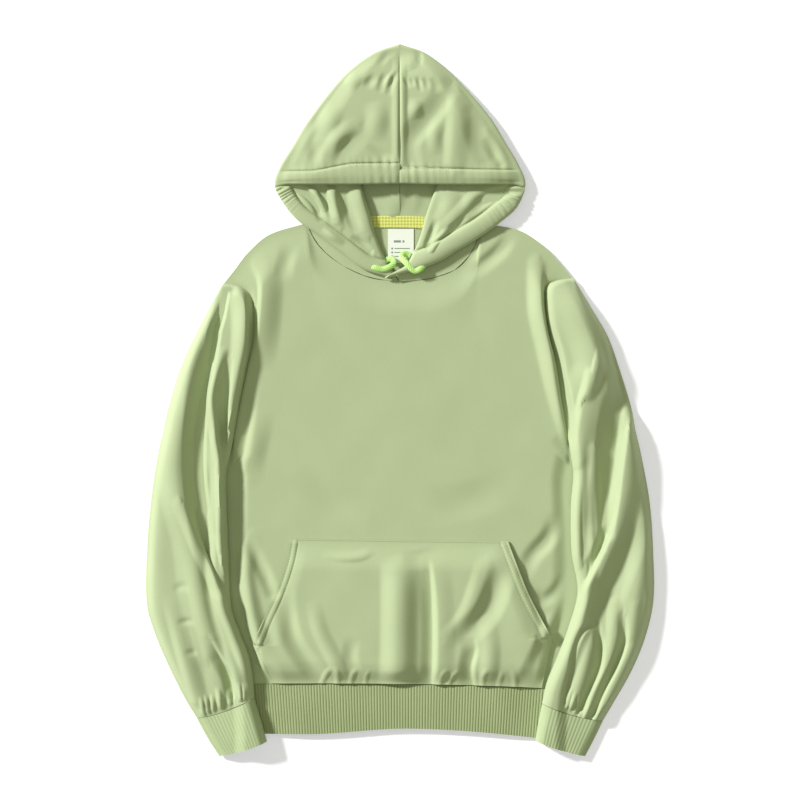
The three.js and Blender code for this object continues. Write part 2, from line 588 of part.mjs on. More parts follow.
// Ring of middle points of a flattened tube for one row
function tubeRing(row, shares, lowShares, foldList, open, round) {
  const width = Math.hypot(row.outX - row.inX, row.outY - row.inY);
  const across = [(row.outX - row.inX) / width, (row.outY - row.inY) / width];
  const left = row.outX < row.inX;
  const down = left ? [-across[1], across[0]] : [across[1], -across[0]];
  const place = (share) => {
    const bend = row.bow * 4 * share * (1 - share);
    return [
      row.inX + across[0] * width * share + down[0] * bend,
      row.inY + across[1] * width * share + down[1] * bend,
    ];
  };
  const edgeRound = Math.min(round, width * 0.3);
  const outerMid = FLOOR_LAYER + Math.min(3.6, width * 0.25);
  const blend = (share, near, far) => near + (far - near) * smooth(share * 1.4 - 0.2);
  const upper = shares.map((share) => {
    const [x, y] = place(share);
    const low = lowerHeight(x, y, ARMPIT_Y);
    const dome = 1 - (2 * share - 1) ** 4;
    const lift = Math.max(foldLift(foldList, x, y) + row.loft * dome, 3.2 + low - FLOOR_LAYER);
    const innerRise = rounded(share * width / (open ? SEAM_RISE : edgeRound));
    const outerRise = rounded((1 - share) * width / edgeRound);
    const base = blend(share, row.upper, outerMid);
    const full = Math.max(low, FLOOR_LAYER) + 3 + lift;
    return [x, y, base + (Math.max(full, base) - base) * innerRise * outerRise];
  });
  const lower = lowShares.map((share) => {
    const [x, y] = place(share);
    const low = lowerHeight(x, y, ARMPIT_Y);
    const innerRise = open ? smooth(share * width / 30) : rounded(share * width / edgeRound);
    const outerRise = rounded((1 - share) * width / edgeRound);
    const base = Math.max(blend(share, row.lower, outerMid), FLOOR_LAYER);
    return [x, y, base + (low - base) * innerRise * outerRise];
  });
  return { upper, lower };
}

const ARMPIT_Y = -94;

function sleeve(rows, armhole, outward, foldList, flip) {
  const columns = SLEEVE_UPPER_CELLS + SLEEVE_LOWER_CELLS;
  const rings = Array.from({ length: SLEEVE_ROWS + 1 }, (_, j) => {
    const row = rowAt(rows, j);
    if (j <= ARMHOLE_CELLS) [row.inX, row.inY] = beside(armhole, j / ARMHOLE_CELLS, outward);
    const width = Math.hypot(row.outX - row.inX, row.outY - row.inY);
    const shares = acrossShares(SLEEVE_UPPER_CELLS, SLEEVE_ROUND, width);
    const lowShares = acrossShares(SLEEVE_LOWER_CELLS, SLEEVE_ROUND, width);
    return tubeRing(row, shares, lowShares, foldList, j < ARMHOLE_CELLS, SLEEVE_ROUND);
  });
  const grid = sheet(
    columns,
    SLEEVE_ROWS,
    (i, j) => (i <= SLEEVE_UPPER_CELLS
      ? rings[j].upper[i]
      : rings[j].lower[SLEEVE_LOWER_CELLS - (i - SLEEVE_UPPER_CELLS)]),
    { closed: (j) => j >= ARMHOLE_CELLS },
  );
  const rim = ({ column, row }) => row < ARMHOLE_CELLS && (column === 0 || column === columns);
  return wall(grid, { flip, settle: (normal, place) => rim(place) && cutDown(normal) });
}

function cuff(rows, flip) {
  const upperCells = 2 * CUFF_RIBS + 4;
  const lowerCells = 9;
  const rings = Array.from({ length: CUFF_ROWS + 1 }, (_, j) => {
    const row = rowAt(rows, j);
    const width = Math.hypot(row.outX - row.inX, row.outY - row.inY);
    const shares = acrossShares(upperCells, SLEEVE_ROUND, width);
    const lowShares = acrossShares(lowerCells, SLEEVE_ROUND, width);
    return tubeRing(row, shares, lowShares, [], false, SLEEVE_ROUND);
  });
  const grid = sheet(
    upperCells + lowerCells,
    CUFF_ROWS,
    (i, j) => (i <= upperCells ? rings[j].upper[i] : rings[j].lower[lowerCells - (i - upperCells)]),
    { closed: () => true },
  );
  const ribbed = ({ column }) => (column > 2 && column < upperCells - 2 && column % 2 === 1 ? RIB_HEIGHT : 0);
  return wall(grid, { flip, raise: ribbed });
}

function hemRib() {
  const upperCells = 2 * HEM_RIBS + 4;
  const lowerCells = 8;
  const rings = Array.from({ length: HEM_ROWS + 1 }, (_, j) => {
    const v = j / HEM_ROWS;
    const line = (share) => {
      const top = beside(HEM_SEAM, share, SEAM);
      const bottom = along(HEM_END, share);
      return [top[0] + (bottom[0] - top[0]) * v, top[1] + (bottom[1] - top[1]) * v];
    };
    const width = 416;
    const layer = (share, full) => {
      const rise = rounded(share * width / 5) * rounded((1 - share) * width / 5);
      const middle = FLOOR_LAYER + 1.3;
      return middle + (full - middle) * rise;
    };
    const upper = acrossShares(upperCells, 5, width).map((share) => {
      const inFromEnd = Math.min(share, 1 - share) * width;
      const [x, y] = line(share);
      return [x, y, layer(share, 3.5 + (HEM_LOFT - 1.6 + Math.sin(v * Math.PI)) * smooth((inFromEnd - 18) / 60))];
    });
    const lower = acrossShares(lowerCells, 5, width).map((share) => {
      const [x, y] = line(share);
      return [x, y, layer(share, FLOOR_LAYER)];
    });
    return { upper, lower };
  });
  const grid = sheet(
    upperCells + lowerCells,
    HEM_ROWS,
    (i, j) => (i <= upperCells ? rings[j].upper[i] : rings[j].lower[lowerCells - (i - upperCells)]),
    { closed: () => true },
  );
  const ribbed = ({ column }) => (column > 2 && column < upperCells - 2 && column % 2 === 1 ? RIB_HEIGHT : 0);
  return wall(grid, { raise: ribbed });
}

// Hood

// Shares along one layer of a hood row, close together at the turns it starts or ends with
function layerShares(cells, nearStart, nearEnd) {
  const start = nearStart > 0 ? [0, nearStart * 0.3] : [];
  const end = nearEnd > 0 ? [1 - nearEnd * 0.3, 1] : [];
  const inside = cells - start.length - end.length;
  const shares = Array.from({ length: inside + 1 }, (_, k) => nearStart + (1 - nearStart - nearEnd) * k / inside);
  return [...start, ...shares, ...end];
}

// Points of one layer of a hood row, turning over into the next layer at its ends
function layer(from, to, shares, { start, end, round, height, bend = () => [0, 0] }) {
  const length = Math.max(Math.hypot(to[0] - from[0], to[1] - from[1]), 1e-3);
  return shares.map((share) => {
    const [bx, by] = bend(share);
    const x = from[0] + (to[0] - from[0]) * share + bx;
    const y = from[1] + (to[1] - from[1]) * share + by;
    const full = height(share, x, y);
    const startRise = start === null ? 1 : rounded(share * length / round);
    const endRise = end === null ? 1 : rounded((1 - share) * length / round);
    const base = start === null ? end : end === null ? start : start + (end - start) * smooth(share);
    return [x, y, base === null ? full : base + (full - base) * startRise * endRise];
  });
}

function hoodPanel(rows, neckLine, foldList, flapFolds, isLeft) {
  const middleCells = NECK_CELLS + 3;
  const chain = [HOOD_UPPER_CELLS, HOOD_FLAP_CELLS, middleCells, HOOD_LOWER_CELLS];
  const columns = chain.reduce((sum, n) => sum + n, 0);
  const lines = [];
  for (let j = 0; j <= HOOD_ROWS; j += 1) {
    const row = rowAt(rows, j);
    const open = [row.openX, row.openY];
    const edge = [row.edgeX, row.edgeY];
    const fold = [row.foldX, row.foldY];
    const turn = [row.turnX, row.turnY];
    const seam = [row.seamX, row.seamY];
    const down = clamp((j - FOREHEAD_ROW) / (HOOD_ROWS - FOREHEAD_ROW), 0, 1);
    const above = clamp(j / FOREHEAD_ROW, 0, 1);
    const pleat = smooth((above - 0.1) / 0.5);
    const neck = smooth((down - 0.15) / 0.85);
    const middle = HOOD_LAYERS.lower + (HOOD_LAYERS.middle - HOOD_LAYERS.lower) * pleat;
    const flap = HOOD_LAYERS.lower + (HOOD_LAYERS.flap - HOOD_LAYERS.lower) * pleat;
    const upper = 6 + (HOOD_LAYERS.upper - 6) * smooth(above / 0.6);
    const crossing = isLeft ? 0 : CROSSING_LIFT * smooth((down - 0.6) / 0.4);
    const neckBend = (share) => {
      const curve = neckLine(share);
      const last = rows[rows.length - 1];
      const chordX = last.foldX + (last.turnX - last.foldX) * share;
      const chordY = last.foldY + (last.turnY - last.foldY) * share;
      const amount = down < 1 ? neck * neck * 0.9 : 1;
      return [(curve[0] - chordX) * amount, (curve[1] - chordY) * amount];
    };
    const spanOf = (a, b) => Math.max(Math.hypot(b[0] - a[0], b[1] - a[1]), 0.5);
    const near = (a, b, share = 0.28) => Math.min(HOOD_ROUND / spanOf(a, b), share);
    const crownHeight = (share, x, y) => {
      const inward = 1 - share;
      return upper + (CROWN_LOFT * smooth(inward * 1.3) * smooth(above * 3) + foldLift(foldList, x, y))
        * smooth((1 - share) * 3) * smooth(above * 4);
    };
    const flapHeight = (share, x, y) => flap + crossing + pleat
      * (FLAP_LOFT * Math.sin(Math.PI * clamp(share * 0.8 + 0.1, 0, 1)) * smooth(down * 4)
        * (1 - 0.6 * smooth((down - 0.7) / 0.3))
        + foldLift(flapFolds, x, y) * smooth(down * 5));
    const middleHeight = (share) => {
      const atNeck = neckHeight(clamp((1 - share) * 1.05, 0, 1));
      return middle + (atNeck - middle) * neck + crossing * (1 - smooth(share * 5)) * 0.6;
    };
    const upperLine = j <= FOREHEAD_ROW
      ? layer(open, edge, layerShares(HOOD_UPPER_CELLS, 0, near(open, edge)), {
        start: null, end: (upper + flap) / 2, round: Math.min(HOOD_ROUND, spanOf(open, edge) * 0.28), height: crownHeight,
      })
      : [];
    const flapLine = layer(edge, fold, layerShares(HOOD_FLAP_CELLS, near(edge, fold), near(edge, fold)), {
      start: j <= FOREHEAD_ROW ? (upper + flap) / 2 : null,
      end: (flap + middle) / 2 + crossing * 0.8,
      round: Math.min(HOOD_ROUND, spanOf(edge, fold) * 0.28),
      height: flapHeight,
    });
    const turnHeight = j === HOOD_ROWS
      ? SECOND_LAYER
      : (middleHeight(1) + HOOD_LAYERS.lower) / 2;
    const middleShares = middleSharesFor(fold, turn, near);
    const middleLine = layer(fold, turn, middleShares, {
      start: (flap + middle) / 2 + crossing * 0.8,
      end: turnHeight,
      round: Math.min(HOOD_ROUND, spanOf(fold, turn) * 0.1),
      height: middleHeight,
      bend: neckBend,
    });
    const lowerLine = layer(turn, seam, layerShares(HOOD_LOWER_CELLS, near(turn, seam), 0), {
      start: turnHeight,
      end: null,
      round: Math.min(HOOD_ROUND, spanOf(turn, seam) * 0.28),
      height: () => HOOD_LAYERS.lower,
    });
    const upperPart = upperLine.length ? upperLine : Array(HOOD_UPPER_CELLS + 1).fill(flapLine[0]);
    lines.push([...upperPart, ...flapLine.slice(1), ...middleLine.slice(1), ...lowerLine.slice(1)]);
  }
  const grid = sheet(columns, HOOD_ROWS, (i, j) => lines[j][i], {
    keep: (i, j) => i >= HOOD_UPPER_CELLS || j < FOREHEAD_ROW,
  });
  const neckRim = ({ column, row }) => row === HOOD_ROWS && column > HOOD_UPPER_CELLS + HOOD_FLAP_CELLS;
  const centreRim = ({ column, row }) => row === 0 || column === columns || (column === 0 && row <= FOREHEAD_ROW);
  const settle = (normal, place) => {
    if (neckRim(place)) cutDown(normal);
    else if (centreRim(place)) normal.setX(0).normalize();
  };
  return wall(grid, { flip: isLeft, settle });
}

// The middle layer ends on the neck seam, so it keeps the seam's own points
function middleSharesFor(fold, turn, near) {
  const start = near(fold, turn, 0.08);
  const end = near(fold, turn, 0.06);
  const inside = Array.from({ length: NECK_CELLS - 1 }, (_, k) => (k + 1) / NECK_CELLS);
  return [0, start * 0.4, start, ...inside, 1 - end, 1];
}

function neckLineFor(line, isLeft) {
  const points = Array.from({ length: NECK_CELLS + 1 }, (_, k) => {
    const share = isLeft ? 1 - k / NECK_CELLS : k / NECK_CELLS;
    return beside(line, share, k === NECK_CELLS ? -SEAM * 8 : -SEAM);
  });
  return (share) => {
    const at = clamp(share * NECK_CELLS, 0, NECK_CELLS - 1e-9);
    const k = Math.floor(at);
    return [0, 1].map((d) => points[k][d] + (points[k + 1][d] - points[k][d]) * (at - k));
  };
}

// Pocket

function pocket() {
  const rowsAll = POCKET_OPEN_ROWS + POCKET_LOW_ROWS;
  const openShare = 0.74;
  const share = (j) => (j <= POCKET_OPEN_ROWS
    ? openShare * j / POCKET_OPEN_ROWS
    : openShare + (1 - openShare) * (j - POCKET_OPEN_ROWS) / POCKET_LOW_ROWS);
  const sideLine = (open, low) => (v) => (v <= openShare
    ? along(open, v / openShare)
    : along(low, (v - openShare) / (1 - openShare)));
  const left = sideLine(POCKET_LEFT, POCKET_LEFT_LOW);
  const right = sideLine(POCKET_RIGHT, POCKET_RIGHT_LOW);
  const mix = (a, b) => (u) => [a[0] + (b[0] - a[0]) * u, a[1] + (b[1] - a[1]) * u];
  const bottom = (u) => {
    const [x] = mix(left(1), right(1))(u);
    return [x, hemSeam((x - HEM_SEAM[0][0]) / (HEM_SEAM[4][0] - HEM_SEAM[0][0]))[1] + 1];
  };
  const plan = between(mix(left(0), right(0)), bottom, left, right, 0.5);
  const grid = sheet(POCKET_COLUMNS, rowsAll, (i, j) => {
    const u = i / POCKET_COLUMNS;
    const v = share(j);
    const [x, y] = plan(u, v);
    const sewnTop = smooth(v * 200 / 22);
    const sewnSide = v < openShare ? 0.45 + 0.55 * smooth(Math.min(u, 1 - u) * 12) : smooth(Math.min(u, 1 - u) * 16);
    const sewnLow = smooth((1 - v) * 200 / 16) * 0.8 + 0.2;
    const loft = (POCKET_LOFT + Math.max(foldLift(POCKET_FOLDS, x, y), -POCKET_LOFT)) * sewnTop * sewnSide * sewnLow;
    return [x, y, pocketBase(x, y) + Math.max(loft, 0)];
  });
  const rim = ({ column, row }) => column === 0 || column === POCKET_COLUMNS || row === 0 || row === rowsAll;
  return wall(grid, { settle: (normal, place) => rim(place) && cutDown(normal) });
}

// The front panel's own height under a place of the pocket, moved out
function pocketBase(x, y) {
  let u = 0.5 + x / 460;
  let v = clamp(0.4 - y / 620, 0, 1);
  for (let step = 0; step < 12; step += 1) {
    const [px, py] = frontPlan(u, v);
    u = clamp(u + (x - px) / 470, 0, 1);
    v = clamp(v - (y - py) / 560, 0, 1);
  }
  return frontHeight(u, v, x, y) + POCKET_STAND;
}

// Neck tape, label and drawstring

function neckTape() {
  const cells = 12;
  const grid = sheet(cells, 2, (i, j) => {
    const [x, y] = beside(TAPE_LINE, i / cells, TAPE_WIDTH * (j / 2 - 0.5));
    return [x, y, CLOTH + SEAM + TRIM / 2 + (j === 1 ? 0.1 : 0)];
  });
  return wall(grid, { half: TRIM / 2, settle: cutDown });
}

function neckLabel() {
  const grid = sheet(4, 5, (i, j) => {
    const u = i / 4 - 0.5;
    const v = j / 5;
    const sway = 1.4 * Math.sin(v * 2.8) * v;
    return [LABEL.x + LABEL.width * u, LABEL.top - LABEL.length * v, CLOTH + SEAM + TRIM / 2 + sway * (0.6 - u)];
  });
  return wall(grid, { half: TRIM / 2, settle: cutDown });
}

function cord(path) {
  const curve = new THREE.CatmullRomCurve3(path.map((p) => new THREE.Vector3(...p)), false, 'centripetal');
  const section = new THREE.Shape();
  for (let k = 0; k < CORD_SIDES; k += 1) {
    const angle = 2 * Math.PI * k / CORD_SIDES;
    const x = CORD_WIDTH / 2 * Math.cos(angle);
    const y = CORD_THICK / 2 * Math.sin(angle);
    if (k === 0) section.moveTo(x, y);
    else section.lineTo(x, y);
  }
  section.closePath();
  return cordTube(curve, section.getPoints());
}

// Tube round a line whose wide side stays level with the floor
function cordTube(curve, outline) {
  const sides = CORD_SIDES;
  const positions = [];
  const triangles = [];
  const up = new THREE.Vector3(0, 0, 1);
  for (let j = 0; j <= CORD_STEPS; j += 1) {
    const centre = curve.getPointAt(j / CORD_STEPS);
    const tangent = curve.getTangentAt(j / CORD_STEPS);
    const wide = tangent.clone().cross(up).normalize();
    const high = wide.clone().cross(tangent).normalize();
    for (let k = 0; k < sides; k += 1) {
      const p = centre.clone().addScaledVector(wide, outline[k].x).addScaledVector(high, outline[k].y);
      positions.push(p.x, p.y, p.z);
    }
  }
  for (let j = 0; j < CORD_STEPS; j += 1) {
    for (let k = 0; k < sides; k += 1) {
      const a = j * sides + k;
      const b = j * sides + (k + 1) % sides;
      triangles.push(a, b, b + sides, a, b + sides, a + sides);
    }
  }
  const last = CORD_STEPS * sides;
  for (let k = 1; k < sides - 1; k += 1) {
    triangles.push(0, k + 1, k);
    triangles.push(last, last + k, last + k + 1);
  }
  const geometry = new THREE.BufferGeometry();
  geometry.setAttribute('position', new THREE.Float32BufferAttribute(positions, 3));
  geometry.setIndex(triangles);
  return geometry;
}

// Signed volume, to keep every body's faces outward
function volume(geometry) {
  const position = geometry.getAttribute('position');
  const index = geometry.getIndex().array;
  const [a, b, c] = [new THREE.Vector3(), new THREE.Vector3(), new THREE.Vector3()];
  let sum = 0;
  for (let k = 0; k < index.length; k += 3) {
    a.fromBufferAttribute(position, index[k]);
    b.fromBufferAttribute(position, index[k + 1]);
    c.fromBufferAttribute(position, index[k + 2]);
    sum += a.dot(b.cross(c)) / 6;
  }
  return sum;
}

const group = new THREE.Group();
group.name = 'pullover_hoodie';

function add(name, geometry, finish) {
  if (geometry.getIndex() && volume(geometry) < 0) {
    const index = geometry.getIndex();
    for (let k = 0; k < index.count; k += 3) {
      const swap = index.getX(k);
      index.setX(k, index.getX(k + 1));
      index.setX(k + 1, swap);
    }
  }
  geometry.computeVertexNormals();
  const mesh = new THREE.Mesh(geometry, new THREE.MeshStandardMaterial(finish));
  mesh.name = name;
  group.add(mesh);
}

add('body_back', bodyBack(), FLEECE);
add('body_front', bodyFront(), FLEECE);
add('sleeve_left', sleeve(SLEEVE_LEFT, ARMHOLE_LEFT, SEAM, SLEEVE_LEFT_FOLDS, true), FLEECE);
add('sleeve_right', sleeve(SLEEVE_RIGHT, ARMHOLE_RIGHT, -SEAM, SLEEVE_RIGHT_FOLDS, false), FLEECE);
add('cuff_left', cuff(CUFF_LEFT, true), RIB);
add('cuff_right', cuff(CUFF_RIGHT, false), RIB);
add('hem_rib', hemRib(), RIB);
add('hood_left', hoodPanel(HOOD_LEFT, neckLineFor(NECK_LEFT, true), HOOD_LEFT_FOLDS, FLAP_LEFT_FOLDS, true), FLEECE);
add('hood_right', hoodPanel(HOOD_RIGHT, neckLineFor(NECK_RIGHT, false), HOOD_RIGHT_FOLDS, FLAP_RIGHT_FOLDS, false), FLEECE);
add('pocket', pocket(), FLEECE);
add('neck_tape', neckTape(), TAPE);
add('neck_label', neckLabel(), SATIN);
add('drawstring_left', cord(CORD_LEFT_PATH), BRAID);
add('drawstring_right', cord(CORD_RIGHT_PATH), BRAID);

// Centre of the whole on the origin, underside on the floor
const box = new THREE.Box3().setFromObject(group);
const centre = box.getCenter(new THREE.Vector3());
for (const mesh of group.children) mesh.geometry.translate(-centre.x, -centre.y, -box.min.z);

export default group;
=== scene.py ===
"""Pullover hoodie laid flat, front up, hood up, sleeves down along its sides.

Lengths in the tables are millimetres, measured on the garment as it lies: X to the viewer's
right, Y to the hood, Z up off the floor. The scene is in metres.
"""

import logging
import math
from dataclasses import dataclass, field
from enum import Enum
from typing import Callable

import bpy
import numpy as np
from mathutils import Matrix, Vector


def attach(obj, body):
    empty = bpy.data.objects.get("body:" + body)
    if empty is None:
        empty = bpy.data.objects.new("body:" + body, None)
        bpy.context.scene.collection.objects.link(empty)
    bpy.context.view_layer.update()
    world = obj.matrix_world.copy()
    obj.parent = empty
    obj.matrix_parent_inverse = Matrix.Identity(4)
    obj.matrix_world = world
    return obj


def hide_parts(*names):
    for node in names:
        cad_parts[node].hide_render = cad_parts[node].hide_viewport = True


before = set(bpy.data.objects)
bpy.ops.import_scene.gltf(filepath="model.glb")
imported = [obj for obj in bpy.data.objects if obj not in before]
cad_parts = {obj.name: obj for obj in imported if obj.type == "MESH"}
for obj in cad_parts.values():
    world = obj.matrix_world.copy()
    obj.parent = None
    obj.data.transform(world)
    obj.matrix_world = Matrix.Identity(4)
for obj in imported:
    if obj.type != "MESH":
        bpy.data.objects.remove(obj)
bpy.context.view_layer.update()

logging.basicConfig(level=logging.INFO, format="%(message)s")
LOG = logging.getLogger("hoodie")

MM = 0.001
CENTRE = (0.43704, 1.04333)
ROOT = "root"

# Cloth and the heights of the layers as they lie
CLOTH = 1.8
HALF = CLOTH / 2
SEAM = 0.3
TRIM = 0.9
FLOOR_LAYER = HALF
SECOND_LAYER = FLOOR_LAYER + CLOTH + SEAM
CHEST_LOFT = 5.0
SIDE_FLAT = 16.0
OVER_BODY = 6.3
ARMPIT_Y = -94.0

# Seam and fold lines as they lie, each from its first to its last point
ARMHOLE_LEFT = [(-238, 158), (-216, 154), (-202, 143), (-197, 123), (-198, 81), (-207, 40),
                (-216, -3), (-225, -51), (-234, -94)]
ARMHOLE_RIGHT = [(234, 165), (212, 162), (198, 154), (196, 131), (201, 92), (211, 51),
                 (219, 0), (228, -51), (235, -94)]
SIDE_LEFT = [(-234, -94), (-238, -135), (-242, -189), (-242, -243), (-235, -290),
             (-221, -335), (-208, -383)]
SIDE_RIGHT = [(235, -94), (239, -135), (244, -189), (246, -243), (241, -290),
              (228, -338), (210, -390)]
SHOULDER_LEFT = [(-238, 158), (-223, 177), (-207, 198), (-177, 224), (-127, 240)]
SHOULDER_RIGHT = [(111, 240), (162, 230), (196, 208), (218, 185), (234, 165)]
NECK_LEFT = [(-127, 240), (-111, 211), (-81, 185), (-40, 166), (0, 161)]
NECK_RIGHT = [(0, 161), (42, 165), (80, 180), (103, 211), (111, 240)]
HEM_SEAM = [(-208, -383), (-135, -382.5), (0, -383), (130, -386), (210, -390)]
HEM_END = [(-202, -450), (-107, -450), (0, -443), (100, -447), (204, -458)]

# Each fold: its width to the left and to the right of its line, seen along the line, and the
# line's points, each with the lift there; a trough is below zero
SLEEVE_LEFT_FOLDS = [
    (4, 22, [(-212, 146, 4), (-207, 113, 8), (-208, 68, 8), (-213, 35, 8), (-219, 1, 8),
             (-223, -30, 6), (-226, -60, 3)]),
    (20, 26, [(-263, 108, 2), (-288, 0, 6), (-303, -81, 6), (-298, -135, 6), (-284, -189, 5),
              (-274, -270, 4), (-261, -337, 2)]),
    (7, 15, [(-235, 144, -4), (-240, 115, -9), (-246, 93, -10), (-252, 55, -4)]),
    (7, 28, [(-246, 86, -3), (-255, 46, -10), (-263, 0, -12), (-267, -81, -13), (-263, -135, -13),
             (-253, -189, -12), (-241, -243, -5)]),
    (9, 9, [(-239, 65, 2), (-248, 32, 7), (-253, 0, 9), (-248, -46, 9), (-242, -81, 8),
            (-239, -135, 8), (-239, -189, 8), (-236, -236, 5), (-232, -261, 2)]),
    (3, 20, [(-250, -39, 0), (-242, -81, 5), (-236, -111, 6), (-236, -147, 4), (-240, -180, 0)]),
    (4, 16, [(-226, 55, -1), (-229, 19, -6), (-231, 0, -8), (-234, -35, -10), (-236, -81, -9),
             (-232, -109, -7), (-232, -136, -4), (-229, -178, -6), (-226, -201, -3)]),
    (10, 7, [(-222, -64, -2), (-225, -91, -7), (-228, -124, -6), (-230, -158, -3)]),
    (4, 16, [(-292, -139, 2), (-266, -200, 8), (-250, -234, 9), (-232, -278, 10), (-212, -332, 9),
             (-199, -379, 5), (-197, -397, 2)]),
    (12, 5, [(-277, -153, -3), (-255, -209, -7), (-239, -251, -5)]),
    (15, 4, [(-250, -325, 1), (-235, -350, 4), (-223, -370, 5), (-219, -397, 3)]),
    (5, 15, [(-253, -325, -1), (-239, -353, -5), (-227, -375, -6), (-224, -397, -4)]),
    (14, 20, [(-277, -202, 0), (-264, -281, 4), (-252, -325, 4), (-246, -363, 3), (-242, -399, 2)]),
    (18, 12, [(-313, -260, 0), (-293, -336, 4), (-273, -404, 3)]),
    (7, 7, [(-306, -256, 0), (-293, -250, -1.6), (-282, -254, 0)]),
    (6, 6, [(-301, -301, 0), (-287, -297, -2), (-275, -298, 0)]),
    (6, 6, [(-291, -342, 0), (-279, -339, -1.6), (-273, -341, 0)]),
    (7, 7, [(-235, 153, 0), (-227, 150, -4), (-223, 141, 0)]),
    (4, 4, [(-265, -422, 3), (-266, -410, 3), (-268, -399, 0)]),
    (4, 4, [(-259, -419, 3), (-260, -408, 3), (-261, -396, 0)]),
    (4, 4, [(-252, -416, 3), (-252, -407, 2.6), (-253, -395, 0)]),
    (5, 5, [(-241, -412, 3), (-243, -399, 3), (-246, -386, 0)]),
    (5, 5, [(-229, -407, 2.6), (-230, -397, 2), (-231, -386, 0)]),
    (4, 4, [(-214, -402, 3), (-215, -392, 2.6), (-217, -379, 0)]),
    (4, 4, [(-209, -401, 3), (-209, -391, 2.6), (-210, -379, 0)]),
    (4, 4, [(-203, -401, 3), (-204, -390, 2.4), (-205, -379, 0)]),
]
SLEEVE_RIGHT_FOLDS = [
    (16, 32, [(216, 162, 2), (234, 131, 5), (248, 99, 7), (259, 70, 8), (263, 50, 8), (258, 30, 7),
              (251, 12, 4)]),
    (44, 11, [(257, 35, 4), (253, 17, 7), (248, -1, 8), (244, -24, 9), (240, -53, 8), (236, -84, 6),
              (234, -136, 4)]),
    (7, 14, [(206, 95, -1), (214, 64, -5), (220, 32, -8), (227, 3, -9), (231, -24, -9),
             (231, -44, -6), (232, -60, -2)]),
    (18, 20, [(278, 88, -1), (289, 55, -6), (298, 19, -7), (302, -4, -3)]),
    (13, 30, [(303, 14, -2), (300, -1, -6), (296, -17, -8), (292, -48, -9), (287, -91, -9),
              (282, -124, -9), (279, -147, -7), (278, -178, -4)]),
    (30, 5, [(317, -1, 3), (311, -27, 7), (305, -64, 9), (300, -102, 9), (296, -135, 9),
             (288, -174, 9), (269, -218, 9), (247, -263, 9), (225, -319, 8), (209, -360, 6),
             (199, -402, 3)]),
    (8, 12, [(278, -180, -3), (265, -209, -5), (250, -236, -5), (242, -251, -3)]),
    (10, 9, [(236, -90, 2), (236, -157, 4), (237, -202, 4), (241, -242, 2)]),
    (11, 11, [(247, -90, -1), (249, -162, -3), (250, -202, -5), (248, -234, -3)]),
    (8, 14, [(263, -68, 2), (265, -113, 3), (265, -153, 3), (264, -189, 2)]),
    (24, 24, [(321, -135, -1), (314, -180, -3), (296, -229, -5), (278, -269, -4), (269, -292, -2)]),
    (14, 20, [(332, -169, 1), (323, -229, 2), (314, -278, 3), (307, -314, 2)]),
    (14, 14, [(257, -307, 3), (253, -336, 5), (245, -370, 5), (234, -404, 4)]),
    (6, 6, [(266, -300, -1), (249, -306, -3.5), (238, -325, -4), (231, -359, -3.5), (223, -408, -3.5)]),
    (5, 12, [(267, -305, -2), (272, -328, -6), (270, -359, -7), (258, -388, -6), (245, -417, -4)]),
    (13, 12, [(289, -274, 2), (287, -319, 4), (278, -359, 4), (257, -415, 3)]),
    (5, 13, [(303, -292, -2), (304, -323, -6), (294, -354, -7), (276, -390, -6), (262, -424, -4)]),
    (15, 12, [(319, -278, 1), (312, -332, 3), (292, -377, 3), (272, -424, 2)]),
    (5, 5, [(225, -411, 3), (227, -399, 3), (231, -386, 0)]),
    (4, 4, [(231, -414, 3), (234, -404, 2.6), (237, -392, 0)]),
    (4, 4, [(238, -418, 3), (241, -407, 2.6), (245, -396, 0)]),
    (4, 4, [(251, -424, 3), (255, -413, 2.6), (259, -401, 0)]),
    (4, 4, [(265, -429, 3), (269, -419, 2.4), (274, -408, 0)]),
]
CUFF_LEFT_FOLDS = [
    (9, 66, [(-200, -398, 6), (-196, -420, 7), (-188, -446, 7), (-180, -470, 6)]),
]
CUFF_RIGHT_FOLDS = [
    (66, 9, [(200, -402, 4), (196, -424, 4), (191, -446, 4), (186, -470, 3)]),
]
FRONT_FOLDS = [
    (30, 7, [(-197, 185, 3), (-186, 160, 6), (-186, 131, 7), (-189, 95, 6), (-192, 68, 3),
             (-197, 46, 0)]),
    (14, 12, [(-197, 50, 0), (-205, -12, -2), (-212, -68, -2)]),
    (26, 9, [(-190, -8, 0), (-201, -62, 4), (-208, -98, 1)]),
    (24, 5, [(-194, -169, 0), (-212, -200, 2), (-217, -229, 8), (-213, -260, 9), (-203, -301, 9),
             (-193, -332, 7), (-179, -370, 3), (-174, -381, 1)]),
    (12, 12, [(-205, -191, -1), (-185, -229, -5), (-172, -260, -3)]),
    (14, 14, [(-208, -354, 0), (-194, -368, -3), (-185, -379, -1)]),
    (8, 20, [(190, 185, 5), (190, 144, 9), (192, 117, 10), (202, 73, 10), (212, 28, 9), (223, -12, 7),
             (234, -48, 3)]),
    (12, 14, [(209, -48, 0), (225, -64, -3), (231, -77, -1)]),
    (15, 15, [(211, -162, -1), (200, -186, -5), (180, -209, -4), (169, -231, -1)]),
    (13, 13, [(180, -260, -1), (200, -267, -4), (229, -236, -3)]),
    (12, 16, [(245, -260, 1), (225, -278, 6), (202, -310, 3)]),
    (8, 8, [(225, -296, -3), (211, -323, -7), (202, -359, -6), (193, -388, -3)]),
    (16, 11, [(148, 246, -1), (142, 215, -5), (110, 184, -3), (88, 174, 0)]),
    (14, 16, [(-146, 215, 0), (-153, 189, -3), (-158, 162, 0)]),
    (30, 30, [(162, -108, 0), (94, -135, -1.6), (27, -143, 0)]),
    (30, 30, [(-135, -94, 0), (-94, -135, -1.6), (-40, -151, 0)]),
]
